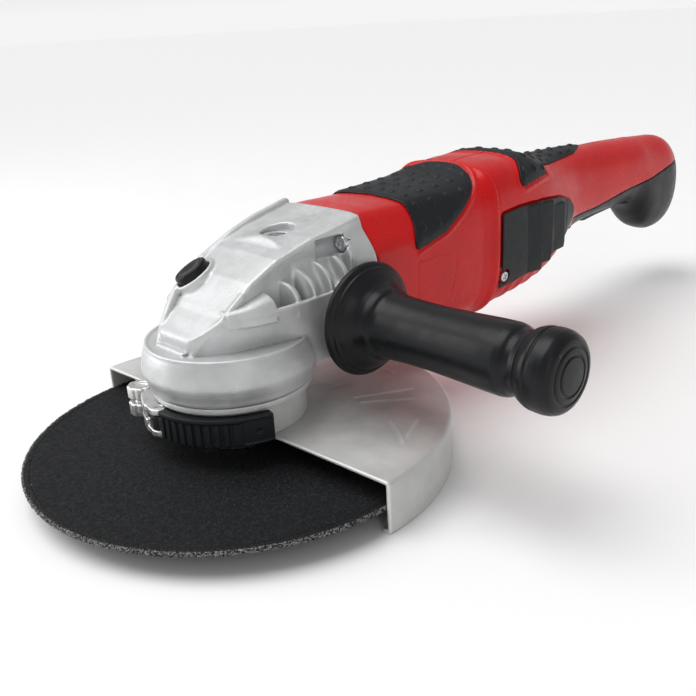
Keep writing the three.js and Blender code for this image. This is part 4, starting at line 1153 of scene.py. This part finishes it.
def rear_pad(x, y, z):
    skin = rear_skin(x, y, z)
    return pad_shape(x, y, z, skin, REAR_PAD, 219, (0, 10, 20.5, 30.5), 2.6, 0.4)


place(netted("rear_pad_moulded", rear_pad, (-46, 200, 95), (46, 340, 138.5), 0.62), "rear_soft_grip")


def hand_guard(x, y, z):
    skin = rear_skin(x, y, z)
    seam = z - line(y, SEAM) + 0.3
    shape = smax(smax(skin, seam, 0.8), SEAM_FRONT + 0.3 - y, 0.8)
    rooms = [
        np.maximum(skin + WALL + 0.4, y - 466),
        box(x, y, z, (-9.6, 326, 30), (9.6, 402, 79.5)),
        box(x, y, z, (-7.4, 303.5, 30), (7.4, 323.7, 79.5)),
        rod(x, z, y, (0, GLAND_Z), 8.3, 462, 500),
    ]
    return smax(shape, -nearest_of(rooms), 0.5)


place(netted("hand_guard_moulded", hand_guard, (-25, 296, 36), (25, 483, 102), 0.85), "hand_guard")


def trigger(x, y, z):
    outline = softened([
        (327, 73.5), (329, 69), (336, 67.5), (354, 69), (398, 71.5), (400.5, 74), (400.5, 80),
        (396, 83), (350, 83), (336, 81), (327.5, 78),
    ], 2)
    shape = smax(polygon(y, z, outline), np.abs(x) - 9, 2.4)
    grooves = np.maximum(np.abs((y - 337 + 3) % 6 - 3) - 0.5, z - 69.8)
    grooves = np.maximum(np.maximum(grooves, slab(y, 335, 379)), np.abs(x) - 7)
    return smax(smax(shape, -grooves, 0.4), 2.2 - np.hypot(y - 396, z - 78.5), 0.2)


place(netted("trigger_moulded", trigger, (-9.5, 326, 66), (9.5, 402, 84), 0.55), "trigger")


def lock_off(x, y, z):
    outline = softened([(309, 68), (311, 64.5), (319.5, 64.5), (323, 68.5), (323, 81), (309, 81)], 1)
    shape = smax(polygon(y, z, outline), np.abs(x) - 7, 1.2)
    ridges = np.maximum(np.abs((x + 1) % 2 - 1) - 0.3, z - 65.1)
    return smax(shape, -ridges, 0.2)


place(netted("lock_off_moulded", lock_off, (-7.5, 308, 64), (7.5, 324, 82), 0.4), "lock_off_slider")
place(turned("release_button_moulded", softened([
    (0, 37.6), (4.6, 37.3), (5.4, 37), (6.4, 37.4), (6.5, 44.2), (8.5, 44.2), (8.5, 46), (0, 46),
], 0.4, closed=False), centre=(0, 200), sides=48), "handle_release_button")
place(turned("cord_gland_moulded", softened([
    (4.2, 464), (9.6, 464), (9.6, 468), (7.8, 468), (7.8, 481.5), (6.6, 482.8), (4.2, 482.8),
], 0.5), "y", (0, GLAND_Z), 48), "cord_gland")

# ---- stage, light, camera

CAMERA_AT = (353.6, -243.7, 222.8)
CAMERA_AZIMUTH, CAMERA_RISE, CAMERA_ROLL = (math.radians(d) for d in (47.0, 21.1, -3.2))
CAMERA_LENS = 43.97
MIDDLE = (0, 0.15, 0.08)  # what the lights point at, in metres


def add_camera():
    data = bpy.data.cameras.new("camera")
    data.lens = CAMERA_LENS
    data.clip_start = 0.01
    camera = scene_object("camera", data)
    turn = (
        Matrix.Rotation(CAMERA_AZIMUTH, 4, "Z")
        @ Matrix.Rotation(math.pi / 2 - CAMERA_RISE, 4, "X")
        @ Matrix.Rotation(CAMERA_ROLL, 4, "Z")
    )
    camera.matrix_world = Matrix.Translation(Vector(CAMERA_AT) * MM) @ turn
    bpy.context.scene.camera = camera


def add_light(name, kind, place_at, power, **settings):
    data = bpy.data.lights.new(name, kind)
    data.energy = power
    for key, value in settings.items():
        setattr(data, key, value)
    light = scene_object(name, data)
    light.location = place_at
    away = Vector(MIDDLE) - Vector(place_at)
    light.rotation_euler = away.to_track_quat("-Z", "Y").to_euler()


def add_stage():
    bpy.ops.mesh.primitive_grid_add(x_subdivisions=2, y_subdivisions=2, size=60,
                                    location=(0, 0, CAD_BOX[0][2] - 0.0002))
    floor = bpy.context.object
    floor.name = "stage_floor"
    paper = Shader("stage_paper", (0.93, 0.93, 0.93), 0.7)
    paper.link("Roughness", paper.spread(paper.noise(0.05), 0.6, 0.8))
    floor.data.materials.append(paper.material)
    world = bpy.data.worlds.new("studio")
    world.use_nodes = True
    tree = world.node_tree
    view = add_node(tree, "ShaderNodeTexCoord").outputs["Generated"]
    height = add_node(tree, "ShaderNodeSeparateXYZ", {0: view}).outputs["Z"]
    fade = {"Value": height, "From Min": 0.02, "From Max": 0.2, "To Min": 0.91, "To Max": 0.42}
    strength = add_node(tree, "ShaderNodeMapRange", fade).outputs[0]
    backdrop = tree.nodes["Background"]
    tree.links.new(strength, backdrop.inputs["Strength"])
    backdrop.inputs["Color"].default_value = (1, 1, 1, 1)
    bpy.context.scene.world = world
    bpy.context.scene.view_settings.view_transform = "Standard"


add_camera()
add_stage()
add_light("sky_panel", "SUN", (-0.5, -0.2, 1.6), 1.9, angle=math.radians(50))
add_light("left_panel", "AREA", (-0.9, -0.7, 0.5), 5, shape="RECTANGLE", size=0.5, size_y=0.8)
add_light("right_panel", "AREA", (1.2, -0.5, 0.7), 1.5, shape="RECTANGLE", size=0.3, size_y=0.8)
